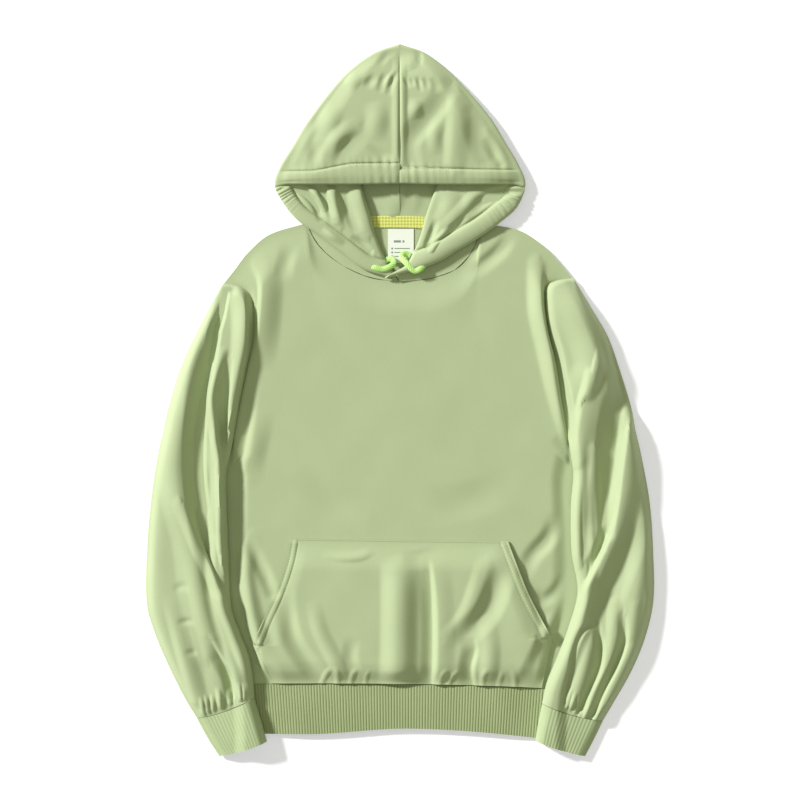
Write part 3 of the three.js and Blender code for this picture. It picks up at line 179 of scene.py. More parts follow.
POCKET_FOLDS = [
    (10, 8, [(-106, -206, 0), (-76, -211, 3), (-50, -209, 3), (-34, -200, 0)]),
    (14, 20, [(-152, -262, -1), (-150, -290, -4), (-142, -322, -6), (-120, -355, -6), (-96, -380, -3)]),
    (14, 12, [(-118, -268, 0), (-108, -310, 2.5), (-88, -350, 3), (-76, -380, 1)]),
    (30, 26, [(-6, -208, 0), (-3, -226, 4), (-2, -250, 7), (-2, -300, 8), (-3, -345, 8),
              (-5, -383, 7)]),
    (8, 22, [(4, -206, 0), (22, -208, -3), (40, -203, -2), (56, -198, 0)]),
    (7, 40, [(36, -210, 0), (40, -232, -2), (43, -290, -3), (43, -340, -3), (41, -384, -3)]),
    (6, 18, [(36, -216, 0), (41, -240, -2), (44, -290, -4), (44, -340, -4), (42, -384, -4)]),
    (24, 7, [(45, -218, 0), (50, -250, 2), (53, -300, 3), (52, -384, 3)]),
    (22, 22, [(142, -212, -1), (134, -245, -5), (118, -284, -6), (90, -314, -3)]),
    (20, 14, [(112, -222, 1), (102, -256, 3), (88, -290, 3), (66, -316, 1)]),
    (6, 20, [(98, -318, 0), (101, -336, -4), (96, -360, -6), (98, -384, -6)]),
    (16, 16, [(118, -300, 1), (122, -340, 3), (118, -382, 3)]),
    (22, 18, [(203, -322, -1), (192, -338, -4), (178, -366, -4), (170, -384, -2)]),
    (10, 46, [(148, -212, 2), (163, -250, 4), (176, -285, 4), (182, -312, 2)]),
    (12, 14, [(-62, -318, 0), (-66, -344, -2.4), (-60, -366, -1)]),
    (5, 5, [(-105, -381, 3), (-98, -367, 2), (-90, -358, 0)]),
    (5, 5, [(-84, -381, 3), (-84, -369, 2), (-88, -358, 0)]),
    (5, 5, [(-66, -381, 3), (-63, -369, 2), (-56, -360, 0)]),
    (4, 4, [(-46, -381, 2.4), (-45, -371, 1.6), (-40, -362, 0)]),
    (5, 5, [(54, -382, 3), (58, -370, 2), (66, -361, 0)]),
    (4, 4, [(66, -383, 2.6), (72, -371, 1.8), (80, -363, 0)]),
    (5, 5, [(112, -384, 3), (113, -370, 2), (120, -360, 0)]),
    (5, 5, [(134, -385, 2.4), (136, -373, 1.6), (140, -364, 0)]),
    (5, 5, [(156, -386, 2.6), (155, -374, 1.8), (150, -364, 0)]),
]
HOOD_LEFT_FOLDS = [
    (4, 9, [(-2, 478, 2), (-3, 403, 2), (-2, 321, 2)]),
    (8, 8, [(-6, 475, -2), (-18, 466, -3), (-30, 451, 0)]),
    (6, 7, [(-3, 442, -1), (-9, 431, -1.8), (-14, 416, -1)]),
    (5, 5, [(-9, 442, 1), (-15, 433, 2), (-19, 422, 0)]),
    (7, 7, [(-17, 442, 0), (-23, 432, -2), (-26, 420, -1)]),
    (9, 9, [(-30, 438, 0), (-40, 430, -2.6), (-44, 420, 0)]),
    (14, 12, [(-54, 444, 0), (-64, 432, 3), (-73, 422, 0)]),
    (20, 22, [(-52, 364, -1), (-68, 345, -2), (-85, 328, -1)]),
    (12, 16, [(-59, 369, 1), (-83, 352, 5), (-95, 326, 1)]),
    (18, 18, [(-85, 403, 0), (-95, 379, 3), (-100, 355, 0)]),
    (18, 18, [(-35, 403, 0), (-30, 379, 3.5), (-35, 350, 0)]),
    (16, 14, [(-117, 379, 0), (-131, 355, 3.5), (-141, 331, 1)]),
    (12, 12, [(-109, 350, 0), (-114, 331, -3), (-117, 316, -1)]),
    (10, 10, [(-44, 345, 0), (-23, 331, -2), (-11, 326, 0)]),
]
HOOD_RIGHT_FOLDS = [
    (9, 4, [(2, 478, 2), (3, 403, 3), (2, 321, 2)]),
    (4, 10, [(16, 481, -1), (26, 473, -4), (29, 460, -2)]),
    (14, 12, [(4, 471, 2), (12, 459, 4), (18, 446, 0)]),
    (6, 5, [(4, 438, -1), (9, 430, -2), (13, 421, 0)]),
    (4, 5, [(14, 435, 0), (17, 429, -1.4), (19, 423, 0)]),
    (5, 5, [(23, 437, 0), (26, 430, -2), (28, 420, -1)]),
    (6, 6, [(31, 436, 0), (36, 429, -1.8), (39, 419, 0)]),
    (10, 9, [(41, 435, 0), (48, 425, -2), (52, 415, 0)]),
    (15, 24, [(67, 418, -2), (50, 391, -4.5), (29, 366, -4), (16, 348, -3), (16, 324, -2)]),
    (24, 14, [(76, 415, 1), (74, 369, 4), (71, 321, 3)]),
    (12, 12, [(54, 379, 0), (47, 355, 3), (50, 331, 0)]),
    (18, 18, [(95, 384, -1), (103, 355, -4), (115, 326, -2)]),
    (10, 12, [(115, 355, 0), (127, 336, -4), (136, 321, -2)]),
    (12, 12, [(122, 364, 1), (136, 340, 3), (148, 316, 1)]),
    (12, 12, [(23, 408, 0), (21, 393, 3), (23, 379, 0)]),
]
FLAP_LEFT_FOLDS = [
    (9, 8, [(-142, 290, -5), (-124, 277, -8), (-112, 262, -7), (-106, 246, -2)]),
    (9, 7, [(-108, 291, -7), (-103, 278, -8), (-96, 262, -5), (-90, 246, -1)]),
    (6, 7, [(-124, 291, 2), (-116, 282, 4), (-106, 266, 3), (-100, 254, 0)]),
    (8, 14, [(-92, 291, 3), (-89, 272, 5), (-84, 250, 4), (-80, 236, 1)]),
    (14, 9, [(-80, 291, -2), (-76, 270, -5), (-66, 246, -3), (-56, 226, 0)]),
    (9, 14, [(-58, 291, 2), (-53, 272, 4), (-46, 248, 3), (-42, 226, 1)]),
    (7, 9, [(-66, 222, 0), (-52, 214, -3), (-40, 202, -2)]),
    (6, 8, [(-104, 232, 0), (-90, 222, 3), (-74, 212, 0)]),
]
FLAP_RIGHT_FOLDS = [
    (10, 16, [(162, 287, -8), (140, 281, -8), (118, 270, -5), (98, 256, -1)]),
    (20, 16, [(54, 287, 1), (67, 268, 3), (54, 234, 1)]),
    (10, 12, [(112, 288, 0), (92, 266, 3), (60, 232, 1)]),
    (7, 7, [(50, 246, 0), (44, 228, -4), (37, 210, -3)]),
    (5, 6, [(70, 236, 0), (54, 220, 3), (43, 203, 2)]),
    (8, 8, [(92, 250, 0), (76, 236, -3), (60, 226, 0)]),
]
INNER_FOLDS = [
    (7, 14, [(-40, 300, 3), (-34, 276, 4), (-26, 248, 1)]),
    (10, 12, [(-16, 300, 3), (-12, 276, 4), (-10, 246, 2)]),
    (3, 8, [(2, 300, 4), (0, 276, 4), (-3, 246, 2)]),
    (12, 8, [(24, 300, 3), (20, 274, 3), (16, 246, 1)]),
]

# Rows of a sleeve or cuff: station, outer edge, inner edge, bow to the cuff, loft of the upper
# layer, heights of the upper and lower edge at the inside
TUBE_COLUMNS = ("station", "outX", "outY", "inX", "inY", "bow", "loft", "upper", "lower")
SLEEVE_LEFT = [
    (0, -240.5, 154.5, -238, 158, 0, 1, 3.6, 0.9),
    (2, -258, 122, -213, 152, 0, 9, 4, 0.9),
    (4, -279, 81, -197, 105, 0, 13, 4, 0.9),
    (6, -297, 40, -207, 38, 0, 14, 4, 0.9),
    (8, -312, -10, -220, -28, 0, 13, 5.4, 1.6),
    (9, -318, -38, -227, -60, 0, 12, 8.4, 5.2),
    (10, -325, -68, -234.4, -94, 0, 12, 7.6, 7.6),
    (12, -335, -132, -234, -146, 0, 12, 7.6, 7.6),
    (15, -341, -205, -231.5, -215, 0, 12, 7.6, 7.6),
    (18, -341, -275, -228, -279, 4, 12, 7.6, 7.6),
    (20, -329, -317, -216, -315, 6, 12, 7.6, 7.6),
    (22, -311, -359, -204, -346, 8, 11, 7.6, 7.6),
    (24, -289, -403, -198.5, -378, 8, 9, 7.6, 7.6),
    (25, -273.5, -428.5, -197, -400.5, 4, 7, 7.6, 7.6),
]
SLEEVE_RIGHT = [
    (0, 236.5, 161.5, 234, 165, 0, 1, 3.6, 0.9),
    (2, 258, 126, 209, 160, 0, 16, 4, 0.9),
    (4, 281, 86, 196, 118, 0, 18, 4, 0.9),
    (6, 298, 38, 208, 60, 0, 18, 4, 0.9),
    (8, 313, -12, 222, -28, 0, 17, 5.4, 1.6),
    (9, 318, -40, 229, -60, 0, 15, 8.4, 5.2),
    (10, 325, -70, 235.4, -94, 0, 15, 7.6, 7.6),
    (12, 337, -136, 232, -142, 0, 15, 7.6, 7.6),
    (15, 342, -208, 233, -205, 0, 15, 7.6, 7.6),
    (18, 342, -272, 241, -259, 4, 15, 7.6, 7.6),
    (20, 331, -320, 228, -308, 6, 14, 7.6, 7.6),
    (22, 313, -364, 213, -347, 8, 11, 7.6, 7.6),
    (24, 290, -405, 199, -382, 8, 9, 7.6, 7.6),
    (25, 274, -432, 193, -408.5, 4, 7, 7.6, 7.6),
]
CUFF_LEFT = [
    (0, -273.4, -429.2, -197.2, -401.2, 4, 6, 7.6, 7.6),
    (1.5, -258, -457, -188, -432, 3, 6.4, 7.6, 7.6),
    (3, -243, -480, -180, -460, 2, 6, 7.6, 7.6),
]
CUFF_RIGHT = [
    (0, 273.8, -432.7, 193.2, -409.2, 4, 6, 7.6, 7.6),
    (1.5, 262, -457, 188, -434, 3, 6.4, 7.6, 7.6),
    (3, 250, -480, 184, -459, 2, 6, 7.6, 7.6),
]
SLEEVE_STATIONS = 25
ARMHOLE_STATIONS = 10
CUFF_STATIONS = 3
SLEEVE_ROUND = 11.0
SEAM_RISE = 9.0

# Rows of a hood panel from the crown to the neck
HOOD_COLUMNS = ("station", "openX", "openY", "edgeX", "edgeY", "foldX", "foldY",
                "turnX", "turnY", "seamX", "seamY")
HOOD_LEFT = [
    (0, -0.2, 468, -0.2, 481.7, -0.2, 477, -0.2, 473, -0.2, 468),
    (2, -0.2, 448, -37, 468, -30, 464, -22, 458, -0.2, 446),
    (4, -0.2, 422, -76, 437, -62, 433, -46, 428, -0.2, 420),
    (7, -0.2, 378, -121, 380, -96, 378, -98, 379, -0.2, 382),
    (9, -0.2, 347, -143, 344, -80, 356, -128, 346, -0.2, 360),
    (11, -0.2, 319, -161, 315, -62, 326, -154, 317, -0.2, 338),
    (13, -0.2, 295.5, -168, 291, -54, 297, -163, 291, -0.2, 316),
    (15, 0, 0, -157, 268, -48, 276, -156, 271, -0.2, 296),
    (17, 0, 0, -138, 245, -40, 250, -143, 252, -0.2, 276),
    (19, 0, 0, -108, 223, -35, 229, -131.5, 246.5, -0.2, 260),
    (21, 0, 0, -79, 201, -28, 208, -127, 244, -0.2, 249),
    (23, 0, 0, -46, 177, -18, 186, -124.5, 243.2, -0.2, 243),
    (24, 0, 0, -15, 167, -5, 168, -125, 240.9, -0.2, 240.5),
]
HOOD_RIGHT = [
    (0, 0.2, 468, 0.2, 481.7, 0.2, 477, 0.2, 473, 0.2, 468),
    (2, 0.2, 448, 37, 468, 30, 464, 22, 458, 0.2, 446),
    (4, 0.2, 422, 74, 437, 62, 433, 46, 428, 0.2, 420),
    (7, 0.2, 378, 120, 384, 96, 378, 98, 379, 0.2, 382),
    (9, 0.2, 347, 143, 347, 80, 356, 128, 348, 0.2, 360),
    (11, 0.2, 319, 161, 316, 62, 326, 154, 318, 0.2, 338),
    (13, 0.2, 295.5, 169, 291, 53, 297, 164, 291, 0.2, 316),
    (15, 0, 0, 158, 262, 43, 270, 157, 268, 0.2, 296),
    (17, 0, 0, 136, 242, 35, 246, 138, 250, 0.2, 276),
    (19, 0, 0, 110, 223, 29, 224, 117, 247, 0.2, 260),
    (21, 0, 0, 80, 205, 20, 202, 110, 244, 0.2, 249),
    (23, 0, 0, 42, 184, 8, 182, 107.5, 243.4, 0.2, 243),
    (24, 0, 0, -20, 166, -7, 173, 109, 240.9, 0.2, 240.5),
]
HOOD_STATIONS = 24
FOREHEAD_STATION = 13
HOOD_ROUND = 4.0
LOWER_Z, MIDDLE_Z, FLAP_Z, UPPER_Z = 0.9, 4.2, 7.6, 11.2
FLAP_LOFT = 3.5
CROWN_LOFT = 7.6
CROSSING_LIFT = 3.6
HEM_ROWS = 10
BAND_LEFT, BAND_RIGHT = 20.0, 24.0
NOSE = 1.9

# Kangaroo pocket
POCKET_LEFT = [(-147, -186.5), (-153, -218), (-167, -259), (-182, -292), (-197.5, -329)]
POCKET_LEFT_LOW = [(-197.5, -329), (-186, -356), (-174, -381.8)]
POCKET_RIGHT = [(146, -189), (158, -221), (173, -259), (189, -290), (205, -319)]
POCKET_RIGHT_LOW = [(205, -319), (199, -352), (192, -387.9)]
POCKET_OPEN_SHARE = 0.74
POCKET_STAND = CLOTH + SEAM + 0.5
POCKET_LOFT = 7.0
POCKET_BAND, POCKET_ROW = 10.0, 3.0

# Neck tape, size label and drawstring
TAPE_LINE = [(-70, 239.5), (-30, 242), (20, 241.5), (64, 239)]
TAPE_WIDTH = 16.0
LABEL_X, LABEL_TOP, LABEL_WIDTH, LABEL_LENGTH = 1.5, 232.5, 35.0, 46.0
CORD_WIDTH = 8.0
CORD_THICK = 4.0
CORD_LEFT_PATH = [(-40.5, 184.2, 9.9), (-34, 180.2, 12.95), (-23.5, 177.4, 12.5),
                  (-14.3, 180.2, 12.1), (-7.9, 185.8, 9.6), (-9.8, 191.2, 7.1),
                  (-15.2, 190.8, 6.2), (-17.6, 190.4, 6.1)]
CORD_RIGHT_PATH = [(33.2, 184, 12.6), (28.4, 178.4, 15.7), (21.3, 175, 15.2), (15.3, 178.1, 15.7),
                   (10.5, 184.1, 15.3), (5.9, 188.9, 13.4), (3, 194, 10.6), (5.2, 198.6, 8),
                   (10.5, 198, 6.4), (14.6, 196.6, 6.1)]


class Side(Enum):
    """The viewer's left or right."""

    LEFT = "left"
    RIGHT = "right"


# Lines, rows and folds

def smooth(value: np.ndarray) -> np.ndarray:
    """Soft step from 0 to 1.

    Args:
        value: Share along the step.

    Returns:
        The eased share.
    """
    t = np.clip(value, 0.0, 1.0)
    return t * t * (3 - 2 * t)


def rounded(value: np.ndarray) -> np.ndarray:
    """Quarter round, 0 at an edge and 1 at one radius in.

    Args:
        value: Distance from the edge in radii.

    Returns:
        The height of the round.
    """
    q = 1 - np.clip(value, 0.0, 1.0)
    return np.sqrt(np.maximum(1 - q * q, 0))


def hermite(knots: np.ndarray, values: np.ndarray, at: np.ndarray) -> np.ndarray:
    """Values of a smooth line through values held at rising knots.

    Args:
        knots: Rising knots.
        values: One row of values for each knot.
        at: Where to read the line.

    Returns:
        One row of values for each place read.
    """
    knots = np.asarray(knots, float)
    values = np.asarray(values, float)
    at = np.asarray(at, float)
    last = len(knots) - 1
    k = np.clip(np.searchsorted(knots, at, side="left") - 1, 0, last - 1)
    after = np.minimum(np.arange(last + 1) + 1, last)
    before = np.maximum(np.arange(last + 1) - 1, 0)
    slope = (values[after] - values[before]) / (knots[after] - knots[before])[:, None]
    span = (knots[k + 1] - knots[k])[..., None]
    t = np.clip((at - knots[k])[..., None] / span, 0, 1)
    t2, t3 = t * t, t * t * t
    return ((2 * t3 - 3 * t2 + 1) * values[k] + (t3 - 2 * t2 + t) * span * slope[k]
            + (3 * t2 - 2 * t3) * values[k + 1] + (t3 - t2) * span * slope[k + 1])


def along(points: list, share: np.ndarray) -> np.ndarray:
    """Points at shares of a smooth line, measured along its chords.

    Args:
        points: The points the line passes through.
        share: Shares of its length.

    Returns:
        One point for each share.
    """
    points = np.asarray(points, float)
    steps = np.maximum(np.hypot(*(points[1:, :2] - points[:-1, :2]).T), 1e-6)
    knots = np.concatenate([[0], np.cumsum(steps)])
    return hermite(knots, points, np.asarray(share, float) * knots[-1])


def beside(points: list, share: np.ndarray, away: float) -> np.ndarray:
    """Points of a line moved to the right of its own direction.

    Args:
        points: The points the line passes through.
        share: Shares of its length.
        away: How far the points move.

    Returns:
        The moved points.
    """
    share = np.asarray(share, float)
    step = along(points, np.clip(share + 0.01, 0, 1)) - along(points, np.clip(share - 0.01, 0, 1))
    length = np.hypot(step[..., 0], step[..., 1])[..., None]
    return along(points, share) + np.stack([step[..., 1], -step[..., 0]], -1) / length * away


def read_rows(names: tuple, rows: list, stations: np.ndarray) -> dict:
    """Rows of a table at stations between its own rows.

    Args:
        names: The table's columns, the first of them its station.
        rows: The table.
        stations: Where to read it.

    Returns:
        One array for each column.
    """
    table = np.asarray(rows, float)
    values = hermite(table[:, 0], table, stations)
    return {name: values[:, k] for k, name in enumerate(names)}


def near_line(points: list, x: np.ndarray, y: np.ndarray, steps: int = 24) -> tuple:
    """Distance of places from a smooth line.

    Args:
        points: The points the line passes through.
        x: Places across the garment.
        y: Places along it.
        steps: Straight pieces the line is read in.

    Returns:
        The distances, the shares along the line of the nearest points, and which side is left.
    """
    path = along([tuple(point[:2]) for point in points], np.linspace(0, 1, steps + 1))
    x, y = np.asarray(x, float), np.asarray(y, float)
    best, share, side = np.full(x.shape, np.inf), np.zeros(x.shape), np.zeros(x.shape)
    for k in range(steps):
        (ax, ay), (bx, by) = path[k], path[k + 1]
        dx, dy = bx - ax, by - ay
        t = np.clip(((x - ax) * dx + (y - ay) * dy) / (dx * dx + dy * dy), 0, 1)
        distance = np.hypot(x - ax - t * dx, y - ay - t * dy)
        closer = distance < best
        best = np.where(closer, distance, best)
        share = np.where(closer, (k + t) / steps, share)
        side = np.where(closer, dx * (y - ay) - dy * (x - ax), side)
    return best, share, side > 0


@dataclass(frozen=True)
class Folds:
    """The folds of one panel."""

    rows: tuple
    steps: int = 6

    def lift(self, x: np.ndarray, y: np.ndarray) -> np.ndarray:
        """Lift of all the folds at places on the panel.

        Args:
            x: Places across the garment.
            y: Places along it.

        Returns:
            The summed lift at each place.
        """
        total = np.zeros(np.shape(x))
        for left, right, line in self.rows:
            reach = max(left, right)
            xs, ys = [point[0] for point in line], [point[1] for point in line]
            near = ((x > min(xs) - reach) & (x < max(xs) + reach)
                    & (y > min(ys) - reach) & (y < max(ys) + reach))
            if near.any():
                total[near] += self._one(left, right, line, x[near], y[near])
        return total

    def _one(self, left: float, right: float, line: list, x: np.ndarray, y: np.ndarray) -> np.ndarray:
        """Lift of one fold.

        Args:
            left: Width on the left of its line.
            right: Width on the right.
            line: The line's points with their lifts.
            x: Places across the garment.
            y: Places along it.

        Returns:
            The lift at each place.
        """
        away, share, on_left = near_line(line, x, y, self.steps * (len(line) - 1))
        fall = np.clip(1 - (away / np.where(on_left, left, right)) ** 2, 0, 1)
        return along(line, share)[..., 2] * fall * fall


def free_edge(side: Side) -> list:
    """Free edge of the hood's opening on one side, from the forehead to the neck."""
    rows = HOOD_LEFT if side is Side.LEFT else HOOD_RIGHT
    return [(row[3], row[4]) for row in rows if row[0] >= FOREHEAD_STATION]


def casing_line(x: np.ndarray) -> np.ndarray:
    """Places along the garment of the stitched line over the forehead."""
    return np.where(x < 0, 319.5 - 10 * smooth((-x - 55) / 70), 313 - 2 * smooth((x - 20) / 120))


def drift(x: np.ndarray, y: np.ndarray, size: float, seed: float) -> np.ndarray:
    """Slow, uneven waves of soft cloth that has been folded and laid out again.

    Args:
        x: Places across the garment.
        y: Places along it.
        size: Height of the waves.
        seed: Shifts the waves from piece to piece.

    Returns:
        The height at each place.
    """
    total = (np.sin(x / 23 + y / 61 + seed) + 0.8 * np.sin(y / 31 - x / 47 + 2.1 * seed)
             + 0.6 * np.sin(x / 13.7 - y / 19.3 + 3.3 * seed)
             + 0.4 * np.sin(x / 8.1 + y / 11.9 + 1.7 * seed))
    return total * size / 2.8


# Meshes

def to_metres(places: np.ndarray) -> np.ndarray:
    """Places in the scene from places in the tables' millimetres."""
    return (places - np.array([*CENTRE, 0])) * MM


def grid_piece(name: str, columns: int, rows: int) -> tuple:
    """A grid of cells, to be shaped.

    Args:
        name: Name of the piece.
        columns: Cells across.
        rows: Cells down.

    Returns:
        The piece, and the column and the row of each of its points.
    """
    bpy.ops.object.select_all(action="DESELECT")
    bpy.ops.mesh.primitive_grid_add(x_subdivisions=columns, y_subdivisions=rows, size=1)
    piece = bpy.context.object
    piece.name = piece.data.name = name
    start = np.empty(len(piece.data.vertices) * 3)
    piece.data.vertices.foreach_get("co", start)
    start = start.reshape(-1, 3)
    column = np.rint((start[:, 0] + 0.5) * columns).astype(int)
    row = np.rint((0.5 - start[:, 1]) * rows).astype(int)
    return piece, column, row


def cloth_wall(name: str, places: np.ndarray, thick: float = CLOTH, keep: np.ndarray | None = None,
               weld: bool = False) -> bpy.types.Object:
    """A wall of cloth shaped on a grid.

    Args:
        name: Name of the piece.
        places: Middle points, a row of points for each row of the grid.
        thick: Thickness of the cloth.
        keep: Which cells stay.
        weld: Whether the two ends of the rows are sewn together where they meet.

    Returns:
        The finished piece.
    """
    piece, i, j = grid_piece(name, places.shape[1] - 1, places.shape[0] - 1)
    mesh = piece.data
    corners = np.empty(len(mesh.polygons) * 4, dtype=int)
    mesh.polygons.foreach_get("vertices", corners)
    corners = corners.reshape(-1, 4)
    mesh.vertices.foreach_set("co", to_metres(places[j, i]).ravel())
    bpy.ops.object.mode_set(mode="EDIT")
    bpy.ops.mesh.select_mode(type="FACE")
    bpy.ops.mesh.select_all(action="DESELECT")
    bpy.ops.object.mode_set(mode="OBJECT")
    if keep is not None:
        gone = ~keep[j[corners].min(axis=1), i[corners].min(axis=1)]
        mesh.polygons.foreach_set("select", gone)
        bpy.ops.object.mode_set(mode="EDIT")
        bpy.ops.mesh.delete(type="FACE")
        bpy.ops.object.mode_set(mode="OBJECT")
    bpy.ops.object.mode_set(mode="EDIT")
    bpy.ops.mesh.select_all(action="SELECT")
    if weld:
        bpy.ops.mesh.remove_doubles(threshold=2e-6)
    bpy.ops.mesh.normals_make_consistent(inside=False)
    bpy.ops.object.mode_set(mode="OBJECT")
    wall = piece.modifiers.new("cloth", "SOLIDIFY")
    wall.thickness = thick * MM
    wall.offset = 0
    bpy.ops.object.modifier_apply(modifier=wall.name)
    bpy.ops.object.shade_smooth_by_angle(angle=math.radians(70))
    bpy.ops.object.select_all(action="DESELECT")
    return piece


def finish_piece(piece: bpy.types.Object, material: bpy.types.Material, slot: str, *nodes: str) -> None:
    """Dress a piece, fix it to the garment and let it stand for its nodes.

    Args:
        piece: The piece.
        material: Its finish.
        slot: Name of a material slot; not used.
        *nodes: The nodes it stands for.
    """
    piece.data.materials.clear()
    piece.data.materials.append(material)
    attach(piece, ROOT)
    if nodes:
        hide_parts(*nodes)
    LOG.info("%s: %d faces", piece.name, len(piece.data.polygons))


# Finishes

def colour(code: str) -> tuple:
    """Linear colour of an sRGB hex value.

    Args:
        code: Six hex digits.

    Returns:
        Red, green, blue and full alpha.
    """
    parts = [int(code[k:k + 2], 16) / 255 for k in (0, 2, 4)]
    return (*[c / 12.92 if c <= 0.04045 else ((c + 0.055) / 1.055) ** 2.4 for c in parts], 1.0)


def node(tree: bpy.types.NodeTree, kind: str, settings: dict | None = None,
         **inputs: object) -> bpy.types.Node:
    """Add a node with its settings, values and links.

    Args:
        tree: The node tree.
        kind: The node's type.
        settings: Properties of the node.
        **inputs: Values or output sockets by input name with _ for a space, or by i and a number.

    Returns:
        The node.
    """
    made = tree.nodes.new(kind)
    for key, value in (settings or {}).items():
        setattr(made, key, value)
    for key, value in inputs.items():
        numbered = key[0] == "i" and key[1:].isdigit()
        socket = made.inputs[int(key[1:]) if numbered else key.replace("_", " ")]
        if isinstance(value, bpy.types.NodeSocket):
            tree.links.new(value, socket)
        else:
            socket.default_value = value
    return made


def new_material(name: str) -> tuple:
    """A new node material.

    Args:
        name: Its name.

    Returns:
        The material, its node tree and its shader.
    """
    made = bpy.data.materials.new(name)
    made.use_nodes = True
    return made, made.node_tree, made.node_tree.nodes["Principled BSDF"]


def set_inputs(shader: bpy.types.Node, **values: object) -> None:
    """Set values of a shader.

    Args:
        shader: The shader.
        **values: The values by input name, with _ for a space.
    """
    for key, value in values.items():
        shader.inputs[key.replace("_", " ")].default_value = value


def two_tones(tree: bpy.types.NodeTree, pattern: bpy.types.NodeSocket, first: str,
              second: str) -> bpy.types.NodeSocket:
    """Blend two colours by a pattern.

    Args:
        tree: The node tree.
        pattern: The pattern, 0 for the first colour and 1 for the second.
        first: The first colour.
        second: The second colour.

    Returns:
        The blended colour.
    """
    mix = node(tree, "ShaderNodeMix", {"data_type": "RGBA"}, i0=pattern, i6=colour(first),
               i7=colour(second))
    return mix.outputs[2]


def raise_relief(tree: bpy.types.NodeTree, shader: bpy.types.Node, pattern: bpy.types.NodeSocket,
                 strength: float, depth_mm: float) -> None:
    """Give a shader a fine relief.

    Args:
        tree: The node tree.
        shader: The shader.
        pattern: The relief's pattern.
        strength: How much of it shows.
        depth_mm: Its depth.
    """
    bump = node(tree, "ShaderNodeBump", Height=pattern, Strength=strength, Distance=depth_mm * MM)
    tree.links.new(bump.outputs["Normal"], shader.inputs["Normal"])


@dataclass(frozen=True)
class Fleece:
    """Brushed cotton blend sweatshirt knit: a matt, faintly hazy face of fine stitches.

    Knitted from dyed cotton and polyester yarn and washed soft. The eye gets a matt green with
    slow, faint clouds, a grain of fibres and a thin haze where the cloth turns away.
    """

    # Flecks and stitches are drawn coarser than the real ones, which are about 0.7 mm, to show
    name: str = "french_terry_knit"
    face: str = "bbc8a1"
    shade: str = "b4c198"
    clouds_per_m: float = 22.0
    fleck_mm: float = 1.1
    fleck_share: float = 0.16
    fleck_relief: float = 0.7
    stitch_mm: float = 1.3
    relief: float = 0.35
    relief_mm: float = 0.24
    roughness: float = 0.92
    gloss: float = 0.2
    haze: float = 0.12
    haze_roughness: float = 0.5

    def material(self) -> bpy.types.Material:
        """Build the node material.

        Returns:
            The material.
        """
        made, tree, shader = new_material(self.name)
        place = node(tree, "ShaderNodeTexCoord").outputs["Object"]
        cloud = node(tree, "ShaderNodeTexNoise", Vector=place, Scale=self.clouds_per_m, Detail=3.0,
                     Roughness=0.55)
        fleck = node(tree, "ShaderNodeTexNoise", Vector=place, Scale=1000 / self.fleck_mm, Detail=2.0,
                     Roughness=0.6)
        ground = two_tones(tree, cloud.outputs["Fac"], self.face, self.shade)
        flecked = node(tree, "ShaderNodeMix", {"data_type": "RGBA", "blend_type": "MULTIPLY"},
                       i0=self.fleck_share, i6=ground, i7=fleck.outputs["Color"])
        tree.links.new(flecked.outputs[2], shader.inputs["Base Color"])
        knit = node(tree, "ShaderNodeTexVoronoi", Vector=place, Scale=1000 / self.stitch_mm)
        height = node(tree, "ShaderNodeMath", {"operation": "MULTIPLY_ADD"}, i0=fleck.outputs["Fac"],
                      i1=self.fleck_relief, i2=knit.outputs["Distance"])
        raise_relief(tree, shader, height.outputs[0], self.relief, self.relief_mm)
        set_inputs(shader, Roughness=self.roughness, Specular_IOR_Level=self.gloss,
                   Sheen_Weight=self.haze, Sheen_Roughness=self.haze_roughness)
        return made


@dataclass(frozen=True)
class Tape:
    """Woven herringbone neck tape: two tones of yellow green in a small checked weave.

    Woven on a narrow loom from polyester yarn of two colours. The eye gets a fine slanting check
    with next to no gloss.
    """

    name: str = "herringbone_tape"
    light: str = "e2e68a"
    dark: str = "bfc258"
    weave_mm: float = 3.0
    relief: float = 0.5
    relief_mm: float = 0.2
    roughness: float = 0.8

    def material(self) -> bpy.types.Material:
        """Build the node material.

        Returns:
            The material.
        """
        made, tree, shader = new_material(self.name)
        place = node(tree, "ShaderNodeTexCoord").outputs["Object"]
        turned = node(tree, "ShaderNodeMapping", Vector=place, Rotation=(0, 0, math.radians(45)))
        weave = node(tree, "ShaderNodeTexChecker", Vector=turned.outputs[0], Scale=1000 / self.weave_mm)
        tone = two_tones(tree, weave.outputs["Fac"], self.light, self.dark)
        tree.links.new(tone, shader.inputs["Base Color"])
        raise_relief(tree, shader, weave.outputs["Fac"], self.relief, self.relief_mm)
        set_inputs(shader, Roughness=self.roughness)
        return made


@dataclass(frozen=True)
class Satin:
    """Woven polyester label: pale, smooth, with a soft gloss.

    Woven from fine bright yarn. The eye gets a smooth pale ground with faint lines across it and
    a soft light on its bends.
    """

    # The wave turns through 20 radians a metre at scale 1, so 400 draws a thread every 0.8 mm,
    # coarser than the real ones of about 0.2 mm
    name: str = "label_satin"
    ground: str = "eef2ea"
    thread_scale: float = 400.0
    relief: float = 0.2
    relief_mm: float = 0.05
    roughness: float = 0.45

    def material(self) -> bpy.types.Material:
        """Build the node material.

        Returns:
            The material.
        """
        made, tree, shader = new_material(self.name)
        place = node(tree, "ShaderNodeTexCoord").outputs["Object"]
        thread = node(tree, "ShaderNodeTexWave", {"bands_direction": "Y"}, Vector=place,
                      Scale=self.thread_scale)
        raise_relief(tree, shader, thread.outputs["Fac"], self.relief, self.relief_mm)
        set_inputs(shader, Base_Color=colour(self.ground), Roughness=self.roughness)
        return made


